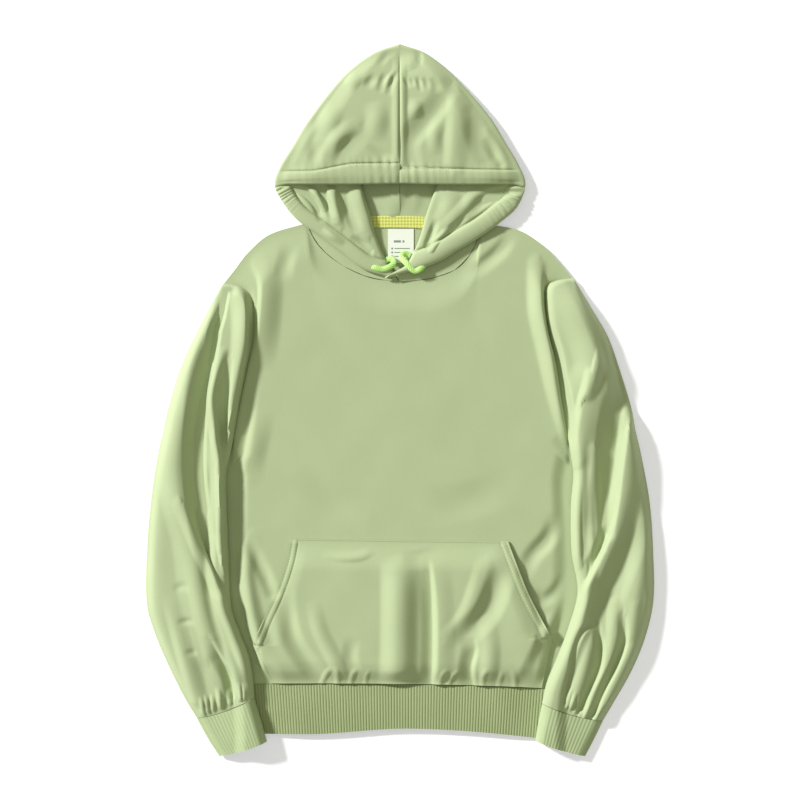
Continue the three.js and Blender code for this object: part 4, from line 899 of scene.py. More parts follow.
@dataclass(frozen=True)
class Braid:
    """Flat polyester braid in neon green: slanting strands with a slight gloss.

    Braided from many bright filaments. The eye gets slanting strands of a light and a deeper
    green, with a slight gloss on their backs.
    """

    # The cord's UV map is in millimetres and the slanting wave turns through 10 radians a unit at
    # scale 1, so 0.19 draws a strand every 3.3 mm, about twice the real ones
    name: str = "polyester_braid"
    light: str = "d6f2a8"
    dark: str = "a2dc62"
    strand_scale: float = 0.19
    uneven: float = 0.4
    relief: float = 0.4
    relief_mm: float = 0.3
    roughness: float = 0.6

    def material(self) -> bpy.types.Material:
        """Build the node material.

        Returns:
            The material.
        """
        made, tree, shader = new_material(self.name)
        place = node(tree, "ShaderNodeUVMap", {"uv_map": "UVMap"}).outputs["UV"]
        strand = node(tree, "ShaderNodeTexWave", {"bands_direction": "DIAGONAL"}, Vector=place,
                      Scale=self.strand_scale, Distortion=self.uneven)
        tone = two_tones(tree, strand.outputs["Fac"], self.dark, self.light)
        tree.links.new(tone, shader.inputs["Base Color"])
        raise_relief(tree, shader, strand.outputs["Fac"], self.relief, self.relief_mm)
        set_inputs(shader, Roughness=self.roughness)
        return made


@dataclass(frozen=True)
class Plain:
    """A finish of one colour: spun polyester thread with a faint gloss, or matt grey printing ink.

    Thread is dyed through and ink is printed thin. Both are too narrow here to give the eye more
    than their colour. The thread on the cloth is darker than the cloth, as painted shade for
    the dents it sits in.
    """

    name: str
    tint: str
    roughness: float = 0.6
    gloss: float = 0.3

    def material(self) -> bpy.types.Material:
        """Build the node material.

        Returns:
            The material.
        """
        made, _, shader = new_material(self.name)
        set_inputs(shader, Base_Color=colour(self.tint), Roughness=self.roughness,
                   Specular_IOR_Level=self.gloss)
        return made


# Studio

@dataclass(frozen=True)
class Lamp:
    """A far lamp: where it shines from, its strength and how wide it looks, in degrees."""

    name: str
    place: tuple
    power: float
    softness: float

    def hang(self) -> None:
        """Hang the lamp, so that it lights the whole garment evenly."""
        data = bpy.data.lights.new(self.name, "SUN")
        data.energy = self.power
        data.angle = math.radians(self.softness)
        lamp = bpy.data.objects.new(self.name, data)
        lamp.location = self.place
        lamp.rotation_euler = (-Vector(self.place)).to_track_quat("-Z", "Y").to_euler()
        bpy.context.scene.collection.objects.link(lamp)


@dataclass
class Studio:
    """Pale floor, soft light from the upper left and a camera straight above."""

    view_mm: float = 1080.0
    lens_mm: float = 130.0
    sensor_mm: float = 36.0
    sharp_mm: float = 10.0
    lamps: tuple = (Lamp("key", (-0.82, 0.53, 0.48), 4.7, 7.0),
                    Lamp("fill", (-0.5, -0.6, 1.6), 0.12, 40.0))
    room: tuple = (0.97, 1.0, 0.72, 1)
    room_strength: float = 0.38
    floor_size: float = 12.0
    floor_z: float = -0.0004
    board: tuple = (0.93, 0.93, 0.93, 1)
    board_roughness: float = 0.9
    # The floor's glow is painted light: it keeps the shadows on the floor pale, and its blue tint evens out
    # the yellow green room light
    painted_glow: tuple = (0.82, 0.79, 1.0, 1)
    painted_glow_strength: float = 0.37

    def camera(self) -> None:
        """Set the camera over the middle of the photograph."""
        data = bpy.data.cameras.new("camera")
        data.lens = self.lens_mm
        data.sensor_width = self.sensor_mm
        camera = bpy.data.objects.new("camera", data)
        bpy.context.scene.collection.objects.link(camera)
        camera.location = (0, 0, self.view_mm * MM * self.lens_mm / self.sensor_mm + self.sharp_mm * MM)
        bpy.context.scene.camera = camera

    def light(self) -> None:
        """Hang the lamps and light the room."""
        for lamp in self.lamps:
            lamp.hang()
        world = bpy.context.scene.world or bpy.data.worlds.new("room")
        bpy.context.scene.world = world
        world.use_nodes = True
        set_inputs(world.node_tree.nodes["Background"], Color=self.room, Strength=self.room_strength)
        bpy.context.scene.view_settings.view_transform = "Standard"

    def floor(self) -> None:
        """Lay a plain pale floor that glows a little, painted light that keeps the shadows on it pale."""
        bpy.ops.object.select_all(action="DESELECT")
        bpy.ops.mesh.primitive_plane_add(size=self.floor_size, location=(0, 0, self.floor_z))
        floor = bpy.context.object
        floor.name = "floor"
        made, _, shader = new_material("matt_white_board")
        set_inputs(shader, Base_Color=self.board, Roughness=self.board_roughness,
                   Emission_Color=self.painted_glow, Emission_Strength=self.painted_glow_strength)
        floor.data.materials.append(made)


# Garment

@dataclass
class Drawstring:
    """The two visible ends of the drawstring at the bottom of the hood opening."""

    width: float = CORD_WIDTH
    thick: float = CORD_THICK
    sides: int = 24
    steps: int = 160
    material: bpy.types.Material = field(default_factory=lambda: Braid().material())

    def build(self, side: Side) -> None:
        """Make one end.

        Args:
            side: Which end.
        """
        path = CORD_LEFT_PATH if side is Side.LEFT else CORD_RIGHT_PATH
        line = self._line(path)
        piece = self._tube(f"drawstring_cord_{side.value}", line)
        finish_piece(piece, self.material, "drawstring", f"drawstring_{side.value}")
        stops = line[:: max(1, len(line) // 24)]
        if not np.allclose(stops[-1], line[-1]):
            stops = np.vstack([stops, line[-1]])

    def _line(self, path: list) -> np.ndarray:
        """Middle line of an end, in metres.

        Args:
            path: The points it passes through.

        Returns:
            Evenly spaced points.
        """
        points = to_metres(np.asarray(path, float))
        steps = np.linalg.norm(np.diff(points, axis=0), axis=1)
        knots = np.concatenate([[0], np.cumsum(steps)])
        return hermite(knots, points, np.linspace(0, knots[-1], self.steps + 1))

    def _tube(self, name: str, line: np.ndarray) -> bpy.types.Object:
        """A soft flattened tube round a line.

        Args:
            name: Name of the piece.
            line: The line's points.

        Returns:
            The tube, closed at both ends.
        """
        tangent = np.gradient(line, axis=0)
        tangent /= np.linalg.norm(tangent, axis=1)[:, None]
        wide = np.cross(tangent, [0, 0, 1])
        wide /= np.linalg.norm(wide, axis=1)[:, None]
        high = np.cross(wide, tangent)
        angle = np.linspace(0, 2 * np.pi, self.sides + 1)
        rings = (line[:, None] + wide[:, None] * np.cos(angle)[None, :, None] * self.width / 2 * MM
                 + high[:, None] * np.sin(angle)[None, :, None] * self.thick / 2 * MM)
        piece, i, j = grid_piece(name, self.sides, len(line) - 1)
        mesh = piece.data
        mesh.vertices.foreach_set("co", rings[j, i].ravel())
        run = np.concatenate([[0], np.cumsum(np.linalg.norm(np.diff(line, axis=0), axis=1))]) / MM
        corner = np.empty(len(mesh.loops), dtype=int)
        mesh.loops.foreach_get("vertex_index", corner)
        around = i[corner] / self.sides * math.pi * (self.width + self.thick) / 2
        mesh.uv_layers[0].data.foreach_set("uv", np.stack([around, run[j[corner]]], -1).ravel())
        bpy.ops.object.mode_set(mode="EDIT")
        bpy.ops.mesh.select_all(action="SELECT")
        bpy.ops.mesh.remove_doubles(threshold=1e-7)
        bpy.ops.mesh.fill_holes(sides=0)
        bpy.ops.mesh.normals_make_consistent(inside=False)
        bpy.ops.object.mode_set(mode="OBJECT")
        bpy.ops.object.shade_smooth_by_angle(angle=math.radians(60))
        bpy.ops.object.select_all(action="DESELECT")
        return piece


@dataclass
class Body:
    """Back panel, front panel and kangaroo pocket."""

    columns: int = 170
    rows: int = 190
    pocket_columns: int = 190
    pocket_rows: int = 100
    armhole_share: float = 0.42
    shoulder_share: float = 0.25
    reach: float = 0.35

    def side(self, v: np.ndarray, side: Side) -> np.ndarray:
        """Side border of the panels: armhole, then side seam.

        Args:
            v: Share from the shoulder to the hem.
            side: Which border.

        Returns:
            Points of the border.
        """
        left = side is Side.LEFT
        armhole, seam = (ARMHOLE_LEFT, SIDE_LEFT) if left else (ARMHOLE_RIGHT, SIDE_RIGHT)
        inward = -SEAM if left else SEAM
        upper = beside(armhole, np.clip(v / self.armhole_share, 0, 1), inward)
        lower = beside(seam, np.clip((v - self.armhole_share) / (1 - self.armhole_share), 0, 1), inward)
        return np.where((v <= self.armhole_share)[..., None], upper, lower)

    def top(self, u: np.ndarray) -> np.ndarray:
        """Top border of the front: shoulder, neck, shoulder.

        Args:
            u: Share from the left to the right.

        Returns:
            Points of the border.
        """
        share = self.shoulder_share
        neck = (u - share) / (1 - 2 * share) * 2
        out = np.where((neck < 1)[..., None], along(NECK_LEFT, np.clip(neck, 0, 1)),
                       along(NECK_RIGHT, np.clip(neck - 1, 0, 1)))
        out = np.where((u < share)[..., None], along(SHOULDER_LEFT, np.clip(u / share, 0, 1)), out)
        right = along(SHOULDER_RIGHT, np.clip((u - 1 + share) / share, 0, 1))
        return np.where((u > 1 - share)[..., None], right, out)

    def back_top(self, u: np.ndarray) -> np.ndarray:
        """Top border of the back: shoulder, straight back neck, shoulder.

        Args:
            u: Share from the left to the right.

        Returns:
            Points of the border.
        """
        share = self.shoulder_share
        neck = np.clip((u - share) / (1 - 2 * share), 0, 1)[..., None]
        line = np.array(SHOULDER_LEFT[-1], float) * (1 - neck) + np.array(SHOULDER_RIGHT[0], float) * neck
        return np.where(((u >= share) & (u <= 1 - share))[..., None], line, self.top(u))

    def plan(self, u: np.ndarray, v: np.ndarray, border: Callable | None = None) -> np.ndarray:
        """Places of a body panel seen from above.

        Args:
            u: Share from the left to the right.
            v: Share from the shoulder to the hem.
            border: Its top border, the front's where none is given.

        Returns:
            The places.
        """
        top, bottom = (border or self.top)(u), along(HEM_SEAM, u)
        out = (1 - v)[..., None] * top + v[..., None] * bottom
        for side, end, near in ((Side.LEFT, 0.0, u), (Side.RIGHT, 1.0, 1 - u)):
            weight = np.clip(1 - near / self.reach, 0, 1) ** 2
            ends = np.full_like(u, end)
            ruled = (1 - v)[..., None] * self.top(ends) + v[..., None] * along(HEM_SEAM, ends)
            out = out + weight[..., None] * (self.side(v, side) - ruled)
        return out

    def neck_height(self, share: np.ndarray) -> np.ndarray:
        """Height of the neck seam, from the shoulder to the middle of the front."""
        return SECOND_LAYER + 2.4 * smooth(np.asarray(share) * 1.6)

    def height(self, u: np.ndarray, v: np.ndarray, x: np.ndarray, y: np.ndarray) -> np.ndarray:
        """Height of the front panel's middle surface.

        Args:
            u: Share from the left to the right.
            v: Share from the shoulder to the hem.
            x: Places across the garment.
            y: Places along it.

        Returns:
            The heights.
        """
        width, length = 460, 540
        share = self.shoulder_share
        neck = np.clip((0.5 - np.abs(u - 0.5) - share) / (0.5 - share), 0, 1)
        armhole = SECOND_LAYER + np.sin(np.pi * np.clip(v / self.armhole_share, 0, 1))
        bottom = SECOND_LAYER + 1.6 * np.sin(np.pi * u)
        flat = SIDE_FLAT * smooth((v - self.armhole_share * 0.8) / (self.armhole_share * 0.4))
        edge = np.minimum(u, 1 - u)
        inward = np.maximum(edge * width - flat, 0)
        side_rise = np.where(v < self.armhole_share, rounded(inward / 13), smooth(inward / 18))
        rise = side_rise * smooth(v * length / 46) * smooth((1 - v) * length / 30)
        near = smooth(edge * 8)
        border = armhole * (1 - near) + (self.neck_height(neck) * (1 - smooth(v * 4))
                                         + bottom * smooth(v * 4)) * near
        return border + rise * np.maximum(CHEST_LOFT + Folds(tuple(FRONT_FOLDS)).lift(x, y), 0.6)

    def build(self, fleece: bpy.types.Material) -> None:
        """Make the three pieces.

        Args:
            fleece: The cloth's finish.
        """
        self._back(fleece)
        self._front(fleece)
        self._pocket(fleece)

    def _grid(self, columns: int, rows: int) -> tuple:
        """Shares across and down a panel, one for each point of its grid.

        Args:
            columns: Cells across.
            rows: Cells down.

        Returns:
            The shares across and the shares down.
        """
        u = np.concatenate([np.linspace(0, self.shoulder_share, columns // 4 + 1)[:-1],
                            np.linspace(self.shoulder_share, 1 - self.shoulder_share, columns // 2 + 1)[:-1],
                            np.linspace(1 - self.shoulder_share, 1, columns // 4 + 1)])
        v = np.concatenate([np.linspace(0, self.armhole_share, int(rows * 0.45) + 1)[:-1],
                            np.linspace(self.armhole_share, 1, rows - int(rows * 0.45) + 1)])
        return np.meshgrid(u, v)

    def _front(self, fleece: bpy.types.Material) -> None:
        """Make the front panel.

        Args:
            fleece: The cloth's finish.
        """
        u, v = self._grid(self.columns, self.rows)
        place = self.plan(u, v)
        x, y = place[..., 0], place[..., 1]
        inside = smooth(np.minimum(u, 1 - u) * 12) * smooth(v * 12) * smooth((1 - v) * 16)
        z = self.height(u, v, x, y) + drift(x, y, 0.35, 1.0) * inside
        piece = cloth_wall("front_panel", np.dstack([x, y, z]))
        finish_piece(piece, fleece, "fleece", "body_front")

    def _back(self, fleece: bpy.types.Material) -> None:
        """Make the back panel, flat on the floor.

        Args:
            fleece: The cloth's finish.
        """
        u, v = self._grid(60, 60)
        place = self.plan(u, v, self.back_top)
        z = np.full(u.shape, FLOOR_LAYER)
        piece = cloth_wall("back_panel", np.dstack([place, z]))
        finish_piece(piece, fleece, "fleece", "body_back")

    def front_at(self, x: np.ndarray, y: np.ndarray) -> np.ndarray:
        """Height of the front panel under places of the garment.

        Args:
            x: Places across the garment.
            y: Places along it.

        Returns:
            The heights.
        """
        u = 0.5 + x / 460
        v = np.clip(0.4 - y / 620, 0, 1)
        for _ in range(12):
            place = self.plan(u, v)
            u = np.clip(u + (x - place[..., 0]) / 470, 0, 1)
            v = np.clip(v - (y - place[..., 1]) / 560, 0, 1)
        return self.height(u, v, x, y)

    def _pocket(self, fleece: bpy.types.Material) -> None:
        """Make the kangaroo pocket with its two turned and stitched openings.

        Args:
            fleece: The cloth's finish.
        """
        share = POCKET_OPEN_SHARE
        near = 0.045
        across = np.concatenate([np.linspace(0, near, 13)[:-1],
                                 np.linspace(near, 1 - near, self.pocket_columns - 23)[:-1],
                                 np.linspace(1 - near, 1, 13)])
        down = np.concatenate([np.linspace(0, share, 75)[:-1], np.linspace(share, 1, self.pocket_rows - 73)])
        u, v = np.meshgrid(across, down)

        def border(opening: list, low: list) -> np.ndarray:
            """Side border of the pocket."""
            return np.where((v <= share)[..., None], along(opening, np.clip(v / share, 0, 1)),
                            along(low, np.clip((v - share) / (1 - share), 0, 1)))

        def side_ends(opening: list, low: list) -> tuple:
            """First and last point of a border."""
            return np.array(opening[0], float), np.array(low[-1], float)

        left, right = border(POCKET_LEFT, POCKET_LEFT_LOW), border(POCKET_RIGHT, POCKET_RIGHT_LOW)
        lt, lb = side_ends(POCKET_LEFT, POCKET_LEFT_LOW)
        rt, rb = side_ends(POCKET_RIGHT, POCKET_RIGHT_LOW)
        top = lt + (rt - lt) * u[..., None]
        bottom = lb + (rb - lb) * u[..., None]
        first, last = HEM_SEAM[0][0], HEM_SEAM[-1][0]
        bottom[..., 1] = along(HEM_SEAM, (bottom[..., 0] - first) / (last - first))[..., 1] + 1
        place = top * (1 - v[..., None]) + bottom * v[..., None]
        for edge, inward, start, end in ((left, u, lt, lb), (right, 1 - u, rt, rb)):
            weight = np.clip(1 - inward / 0.5, 0, 1) ** 2
            ruled = start * (1 - v[..., None]) + end * v[..., None]
            place = place + weight[..., None] * (edge - ruled)
        x, y = place[..., 0], place[..., 1]
        tall = 200
        near_side = np.minimum(u, 1 - u)
        sewn_top = smooth(v * tall / 44)
        sewn_side = np.where(v < share, 0.45 + 0.55 * smooth(near_side * 12), smooth(near_side * 16))
        sewn_low = smooth((1 - v) * tall / 20) * 0.6 + 0.4
        lift = np.maximum(Folds(tuple(POCKET_FOLDS)).lift(x, y) + drift(x, y, 0.7, 2.0), -POCKET_LOFT)
        puff = np.maximum((POCKET_LOFT + lift) * sewn_top * sewn_side * sewn_low, 0)
        z = self.front_at(x, y) + POCKET_STAND + puff
        z += self._opening_bands(x, y) * smooth(v * 30)
        piece = cloth_wall("kangaroo_pocket", np.dstack([x, y, z]))
        finish_piece(piece, fleece, "fleece", "pocket")

    def _opening_bands(self, x: np.ndarray, y: np.ndarray) -> np.ndarray:
        """Relief of the turned edges of the openings with their two stitched lines.

        Args:
            x: Places across the garment.
            y: Places along it.

        Returns:
            The relief.
        """
        total = np.zeros(x.shape)
        for opening in (POCKET_LEFT, POCKET_RIGHT):
            away = near_line(opening, x, y, 20)[0]
            total += 1.1 * smooth((POCKET_BAND + 1.6 - away) / 2.4)
            total -= 0.6 * np.exp(-((away - POCKET_ROW) / 1.1) ** 2)
            total -= 0.9 * np.exp(-((away - POCKET_BAND) / 1.3) ** 2)
        return total


@dataclass
class Tubes:
    """Sleeves, cuffs and hem rib: flattened tubes of cloth."""

    across: int = 84
    below: int = 30
    rows_per_station: int = 8
    cuff_ribs: int = 17
    hem_ribs: int = 108
    cuff_rib_height: float = 0.3
    hem_rib_height: float = 1.0
    hem_width: float = 416.0
    hem_round: float = 5.0
    wobble: float = 0.8

    def shares(self, cells: int, near: np.ndarray, edge: int = 6) -> np.ndarray:
        """Shares across a row, close together at its rounded edges.

        Args:
            cells: Cells across.
            near: Width of a round as a share of the row.
            edge: Cells in each round.

        Returns:
            The shares.
        """
        turn = near * (1 - np.cos(np.linspace(0, np.pi / 2, edge + 1)))
        inside = near + (1 - 2 * near) * np.linspace(0, 1, cells - 2 * edge + 1)[1:-1]
        return np.concatenate([turn, inside, 1 - turn[::-1]])

    def low(self, x: np.ndarray, y: np.ndarray) -> np.ndarray:
        """Height of a tube's lower layer: on the floor, and over the body's edge.

        Args:
            x: Places across the garment.
            y: Places along it.

        Returns:
            The heights.
        """
        left = np.mean(x) < 0
        side = np.array([*SIDE_LEFT, HEM_END[0]] if left else [*SIDE_RIGHT, HEM_END[-1]], float)
        knots = -side[:, 1]
        edge = hermite(knots, side[:, :1], np.clip(-y, knots[0], knots[-1]))[..., 0]
        inside = x - edge if left else edge - x
        rise = (OVER_BODY - FLOOR_LAYER) * smooth((inside + 22) / 18)
        return FLOOR_LAYER + rise * smooth((ARMPIT_Y + 60 - y) / 50)

    def _round_share(self, row: dict, k: int) -> float:
        """Width of a row's rounded edge as a share of the row."""
        width = math.hypot(row["outX"][k] - row["inX"][k], row["outY"][k] - row["inY"][k])
        return min(SLEEVE_ROUND / width, 0.3)

    def ring(self, row: dict, k: int, shares: np.ndarray, low_shares: np.ndarray, folds: Folds,
             is_open: bool, wobble: float) -> np.ndarray:
        """Middle points of one row, round the tube.

        Args:
            row: The rows' columns.
            k: Which row.
            shares: Shares across the upper layer.
            low_shares: Shares across the lower layer.
            folds: The upper layer's folds.
            is_open: Whether the row ends at the armhole.
            wobble: Height of the slow waves.

        Returns:
            The points, from the inner edge over the top and back below.
        """
        out = np.array([row["outX"][k], row["outY"][k]])
        inn = np.array([row["inX"][k], row["inY"][k]])
        width = np.hypot(*(out - inn))
        across = (out - inn) / width
        left = out[0] < inn[0]
        down = np.array([-across[1], across[0]]) if left else np.array([across[1], -across[0]])
        edge = min(SLEEVE_ROUND, width * 0.3)
        outer_mid = FLOOR_LAYER + min(3.6, width * 0.25)

        def place(share: np.ndarray) -> np.ndarray:
            """Places across the row."""
            bend = row["bow"][k] * 4 * share * (1 - share)
            return inn + across * (width * share)[:, None] + down * bend[:, None]

        def blend(share: np.ndarray, start: float) -> np.ndarray:
            """Height of the edges, from the inner to the outer one."""
            return start + (outer_mid - start) * smooth(share * 1.4 - 0.2)

        up = place(shares)
        low = self.low(up[:, 0], up[:, 1])
        dome = 1 - (2 * shares - 1) ** 8
        lift = folds.lift(up[:, 0], up[:, 1]) + row["loft"][k] * dome
        lift = lift + drift(up[:, 0], up[:, 1], wobble, 3.0) * dome
        lift = np.maximum(lift, 3.2 + low - FLOOR_LAYER)
        inner = rounded(shares * width / (SEAM_RISE if is_open else edge))
        outer = rounded((1 - shares) * width / edge)
        base = blend(shares, row["upper"][k])
        full = np.maximum(low, FLOOR_LAYER) + 3 + lift
        upper = np.column_stack([up, base + (np.maximum(full, base) - base) * inner * outer])
        under = place(low_shares)
        low = self.low(under[:, 0], under[:, 1])
        inner = smooth(low_shares * width / 30) if is_open else rounded(low_shares * width / edge)
        outer = rounded((1 - low_shares) * width / edge)
        base = np.maximum(blend(low_shares, row["lower"][k]), FLOOR_LAYER)
        lower = np.column_stack([under, base + (low - base) * inner * outer])
        return np.vstack([upper, lower[::-1][1:]])

    def sleeve(self, side: Side, fleece: bpy.types.Material) -> None:
        """One sleeve, open along the armhole and sewn to a tube below it.

        Args:
            side: Which sleeve.
            fleece: The cloth's finish.
        """
        left = side is Side.LEFT
        rows = SLEEVE_LEFT if left else SLEEVE_RIGHT
        armhole = ARMHOLE_LEFT if left else ARMHOLE_RIGHT
        folds = Folds(tuple(SLEEVE_LEFT_FOLDS if left else SLEEVE_RIGHT_FOLDS))
        count = SLEEVE_STATIONS * self.rows_per_station
        stations = np.linspace(0, SLEEVE_STATIONS, count + 1)
        row = read_rows(TUBE_COLUMNS, rows, stations)
        seam = beside(armhole, np.clip(stations / ARMHOLE_STATIONS, 0, 1), SEAM if left else -SEAM)
        at_seam = stations <= ARMHOLE_STATIONS
        row["inX"] = np.where(at_seam, seam[:, 0], row["inX"])
        row["inY"] = np.where(at_seam, seam[:, 1], row["inY"])
        places = []
        for k, station in enumerate(stations):
            near = self._round_share(row, k)
            places.append(self.ring(row, k, self.shares(self.across, near),
                                    self.shares(self.below, near), folds,
                                    station < ARMHOLE_STATIONS, self.wobble))
        piece = cloth_wall(f"sleeve_panel_{side.value}", np.array(places), weld=True)
        finish_piece(piece, fleece, "fleece", f"sleeve_{side.value}")

    def cuff(self, side: Side, rib: bpy.types.Material) -> None:
        """One ribbed cuff.

        Args:
            side: Which cuff.
            rib: The rib's finish.
        """
        left = side is Side.LEFT
        folds = Folds(tuple(CUFF_LEFT_FOLDS if left else CUFF_RIGHT_FOLDS))
        count = 22
        stations = np.linspace(0, CUFF_STATIONS, count + 1)
        row = read_rows(TUBE_COLUMNS, CUFF_LEFT if left else CUFF_RIGHT, stations)
        places = []
        for k in range(count + 1):
            near = self._round_share(row, k)
            shares = self.shares(self.cuff_ribs * 8, near, 10)
            low_shares = self.shares(40, near)
            ring = self.ring(row, k, shares, low_shares, folds, False, 0.0)
            wave = 0.5 - 0.5 * np.cos(2 * np.pi * shares * self.cuff_ribs)
            ribs = self.cuff_rib_height * wave * rounded(shares * 14) * rounded((1 - shares) * 14)
            ring[: len(shares), 2] += ribs
            places.append(ring)
        piece = cloth_wall(f"cuff_rib_{side.value}", np.array(places), weld=True)
        finish_piece(piece, rib, "rib", f"cuff_{side.value}")

    def hem(self, rib: bpy.types.Material) -> None:
        """The ribbed band round the hem.

        Args:
            rib: The rib's finish.
        """
        count = 14
        width = self.hem_width
        shares = self.shares(self.hem_ribs * 8, self.hem_round / width, 8)
        low_shares = self.shares(60, self.hem_round / width, 6)
        places = []
        for v in np.linspace(0, 1, count + 1):
            def line(share: np.ndarray) -> np.ndarray:
                """Places across the band."""
                return beside(HEM_SEAM, share, SEAM) * (1 - v) + along(HEM_END, share) * v

            def layer(share: np.ndarray, full: np.ndarray) -> np.ndarray:
                """Heights rounded at both ends."""
                rise = (rounded(share * width / self.hem_round)
                        * rounded((1 - share) * width / self.hem_round))
                return FLOOR_LAYER + 1.3 + (full - FLOOR_LAYER - 1.3) * rise

            inward = np.minimum(shares, 1 - shares) * width
            full = 3.5 + (2.8 + math.sin(v * math.pi)) * smooth((inward - 18) / 60)
            wave = np.sqrt(np.abs(np.sin(np.pi * shares * self.hem_ribs)))
            top = layer(shares, full) + self.hem_rib_height * wave * smooth(inward / 6)
            upper = np.column_stack([line(shares), top])
            flat = np.full(low_shares.shape, FLOOR_LAYER)
            lower = np.column_stack([line(low_shares), layer(low_shares, flat)])
            places.append(np.vstack([upper, lower[::-1][1:]]))
        piece = cloth_wall("hem_band", np.array(places), thick=1.6, weld=True)
        finish_piece(piece, rib, "rib", "hem_rib")


@dataclass
class Hood:
    """The two hood panels with their turned front edges."""

    upper: int = 60
    flap: int = 80
    middle: int = 20
    lower: int = 20
    spacing: tuple = ((0, 10, 84), (10, 13, 42), (13, 15, 30), (15, 24, 84))
    edge: int = 5

    def stations(self) -> np.ndarray:
        """Stations of the rows, closest together at the corners of the opening."""
        parts = [np.linspace(a, b, n + 1)[:-1] for a, b, n in self.spacing]
        return np.concatenate([*parts, [HOOD_STATIONS]])

    def layer_shares(self, cells: int, start: float, end: float) -> np.ndarray:
        """Shares along one layer, close together at its turns.

        Args:
            cells: Cells along the layer.
            start: Share of the turn at the start, or 0.
            end: Share of the turn at the end, or 0.

        Returns:
            The shares.
        """
        turn = 1 - np.cos(np.linspace(0, np.pi / 2, self.edge + 1))
        first = start * turn[:-1] if start > 0 else np.empty(0)
        last = 1 - end * turn[:-1][::-1] if end > 0 else np.empty(0)
        inside = cells - len(first) - len(last)
        return np.concatenate([first, np.linspace(start, 1 - end, inside + 1), last])

    def layer(self, start: np.ndarray, end: np.ndarray, shares: np.ndarray, start_z: float | None,
              end_z: float | None, turn: float, height: Callable,
              bend: np.ndarray | float = 0.0) -> np.ndarray:
        """Points of one layer of a row, turning over into the next at its ends.

        Args:
            start: Where the layer starts.
            end: Where it ends.
            shares: Shares along it.
            start_z: Height of the turn at its start.
            end_z: Height of the turn at its end.
            turn: Radius of the turns.
            height: Height of the layer from shares and places.
            bend: How far its points lie off the straight line.

        Returns:
            The points.
        """
        place = start + (end - start) * shares[:, None] + bend
        length = max(float(np.hypot(*(end - start))), 1e-3)
        full = height(shares, place[:, 0], place[:, 1])
        if start_z is None and end_z is None:
            return np.column_stack([place, full])
        rise = np.ones(shares.shape)
        if start_z is not None:
            rise = rise * rounded(shares * length / turn)
        if end_z is not None:
            rise = rise * rounded((1 - shares) * length / turn)
        first = end_z if start_z is None else start_z
        last = start_z if end_z is None else end_z
        base = first + (last - first) * smooth(shares)
        return np.column_stack([place, base + (full - base) * rise])

    def panel(self, side: Side, body: Body, fleece: bpy.types.Material) -> None:
        """One hood panel.

        Args:
            side: Which panel.
            body: The body, for the height of the neck seam.
            fleece: The cloth's finish.
        """
        left = side is Side.LEFT
        rows = HOOD_LEFT if left else HOOD_RIGHT
        neck_line = NECK_LEFT if left else NECK_RIGHT
        crown_folds = Folds(tuple(HOOD_LEFT_FOLDS if left else HOOD_RIGHT_FOLDS))
        flap_folds = Folds(tuple(FLAP_LEFT_FOLDS if left else FLAP_RIGHT_FOLDS))
        inner_folds = Folds(tuple(INNER_FOLDS))
        last_row = dict(zip(HOOD_COLUMNS, rows[-1]))
        stations = self.stations()
        count = len(stations) - 1
        forehead = int(np.argmin(np.abs(stations - FOREHEAD_STATION)))
        table = read_rows(HOOD_COLUMNS, rows, stations)
        opening = free_edge(side)
        nose = None
        lines = []
        for j in range(count + 1):
            point = {name: np.array([table[name + "X"][j], table[name + "Y"][j]])
                     for name in ("open", "edge", "fold", "turn", "seam")}
            station = stations[j]
            down = float(np.clip((station - FOREHEAD_STATION) / (HOOD_STATIONS - FOREHEAD_STATION), 0, 1))
            above = float(np.clip(station / FOREHEAD_STATION, 0, 1))
            pleat = float(smooth((above - 0.1) / 0.5))
            neck = float(smooth((down - 0.15) / 0.85))
            middle = LOWER_Z + (MIDDLE_Z - LOWER_Z) * pleat
            flap = LOWER_Z + (FLAP_Z - LOWER_Z) * pleat
            upper = 6 + (UPPER_Z - 6) * float(smooth(above / 0.6))
            crossing = 0.0 if left else CROSSING_LIFT * float(smooth((down - 0.6) / 0.4))

            def near(start: str, end: str, most: float = 0.28) -> float:
                """Share of a layer's length that its turn takes."""
                length = max(float(np.hypot(*(point[end] - point[start]))), 0.5)
                return min(HOOD_ROUND / length, most)

            def span(start: str, end: str, most: float) -> float:
                """Radius of a layer's turn."""
                return min(HOOD_ROUND, max(float(np.hypot(*(point[end] - point[start]))), 0.5) * most)

            def crown_z(share: np.ndarray, x: np.ndarray, y: np.ndarray) -> np.ndarray:
                """Height of the upper layer.

                Args:
                    share: Shares along the layer.
                    x: Places across the garment.
                    y: Places along it.

                Returns:
                    The heights.
                """
                inward = 1 - share
                lift = (CROWN_LOFT * smooth(inward * 3) * smooth(above * 3) + crown_folds.lift(x, y)
                        + self._casing(x, y) + drift(x, y, 0.5, 4.0) - 1.6 * np.exp(-(x / 1.3) ** 2))
                return upper + lift * smooth(inward * 8) * smooth(above * 4)

            def flap_z(share: np.ndarray, x: np.ndarray, y: np.ndarray) -> np.ndarray:
                """Height of the turned front edge.

                Args:
                    share: Shares along the layer.
                    x: Places across the garment.
                    y: Places along it.

                Returns:
                    The heights.
                """
                rise = FLAP_LOFT * np.sin(np.pi * np.clip(share * 0.8 + 0.1, 0, 1)) * smooth(down * 4)
                rise = rise * (1 - 0.6 * smooth((down - 0.7) / 0.3))
                band = self._band(opening, x, y, left) * smooth(down * 30)
                soft = (flap_folds.lift(x, y) + drift(x, y, 0.5, 5.0)) * smooth(down * 8)
                return flap + crossing + pleat * np.maximum(rise + soft + band, -1.2)

            def middle_z(share: np.ndarray, _x: np.ndarray, _y: np.ndarray) -> np.ndarray:
                """Height of the layer under the flap.

                Args:
                    share: Shares along the layer.
                    _x: Places across the garment; not used.
                    _y: Places along it; not used.

                Returns:
                    The heights.
                """
                at_neck = body.neck_height(np.clip((1 - share) * 1.05, 0, 1))
                over = crossing * (1 - smooth(np.asarray(share) * 5)) * 0.6
                return middle + (at_neck - middle) * neck + over

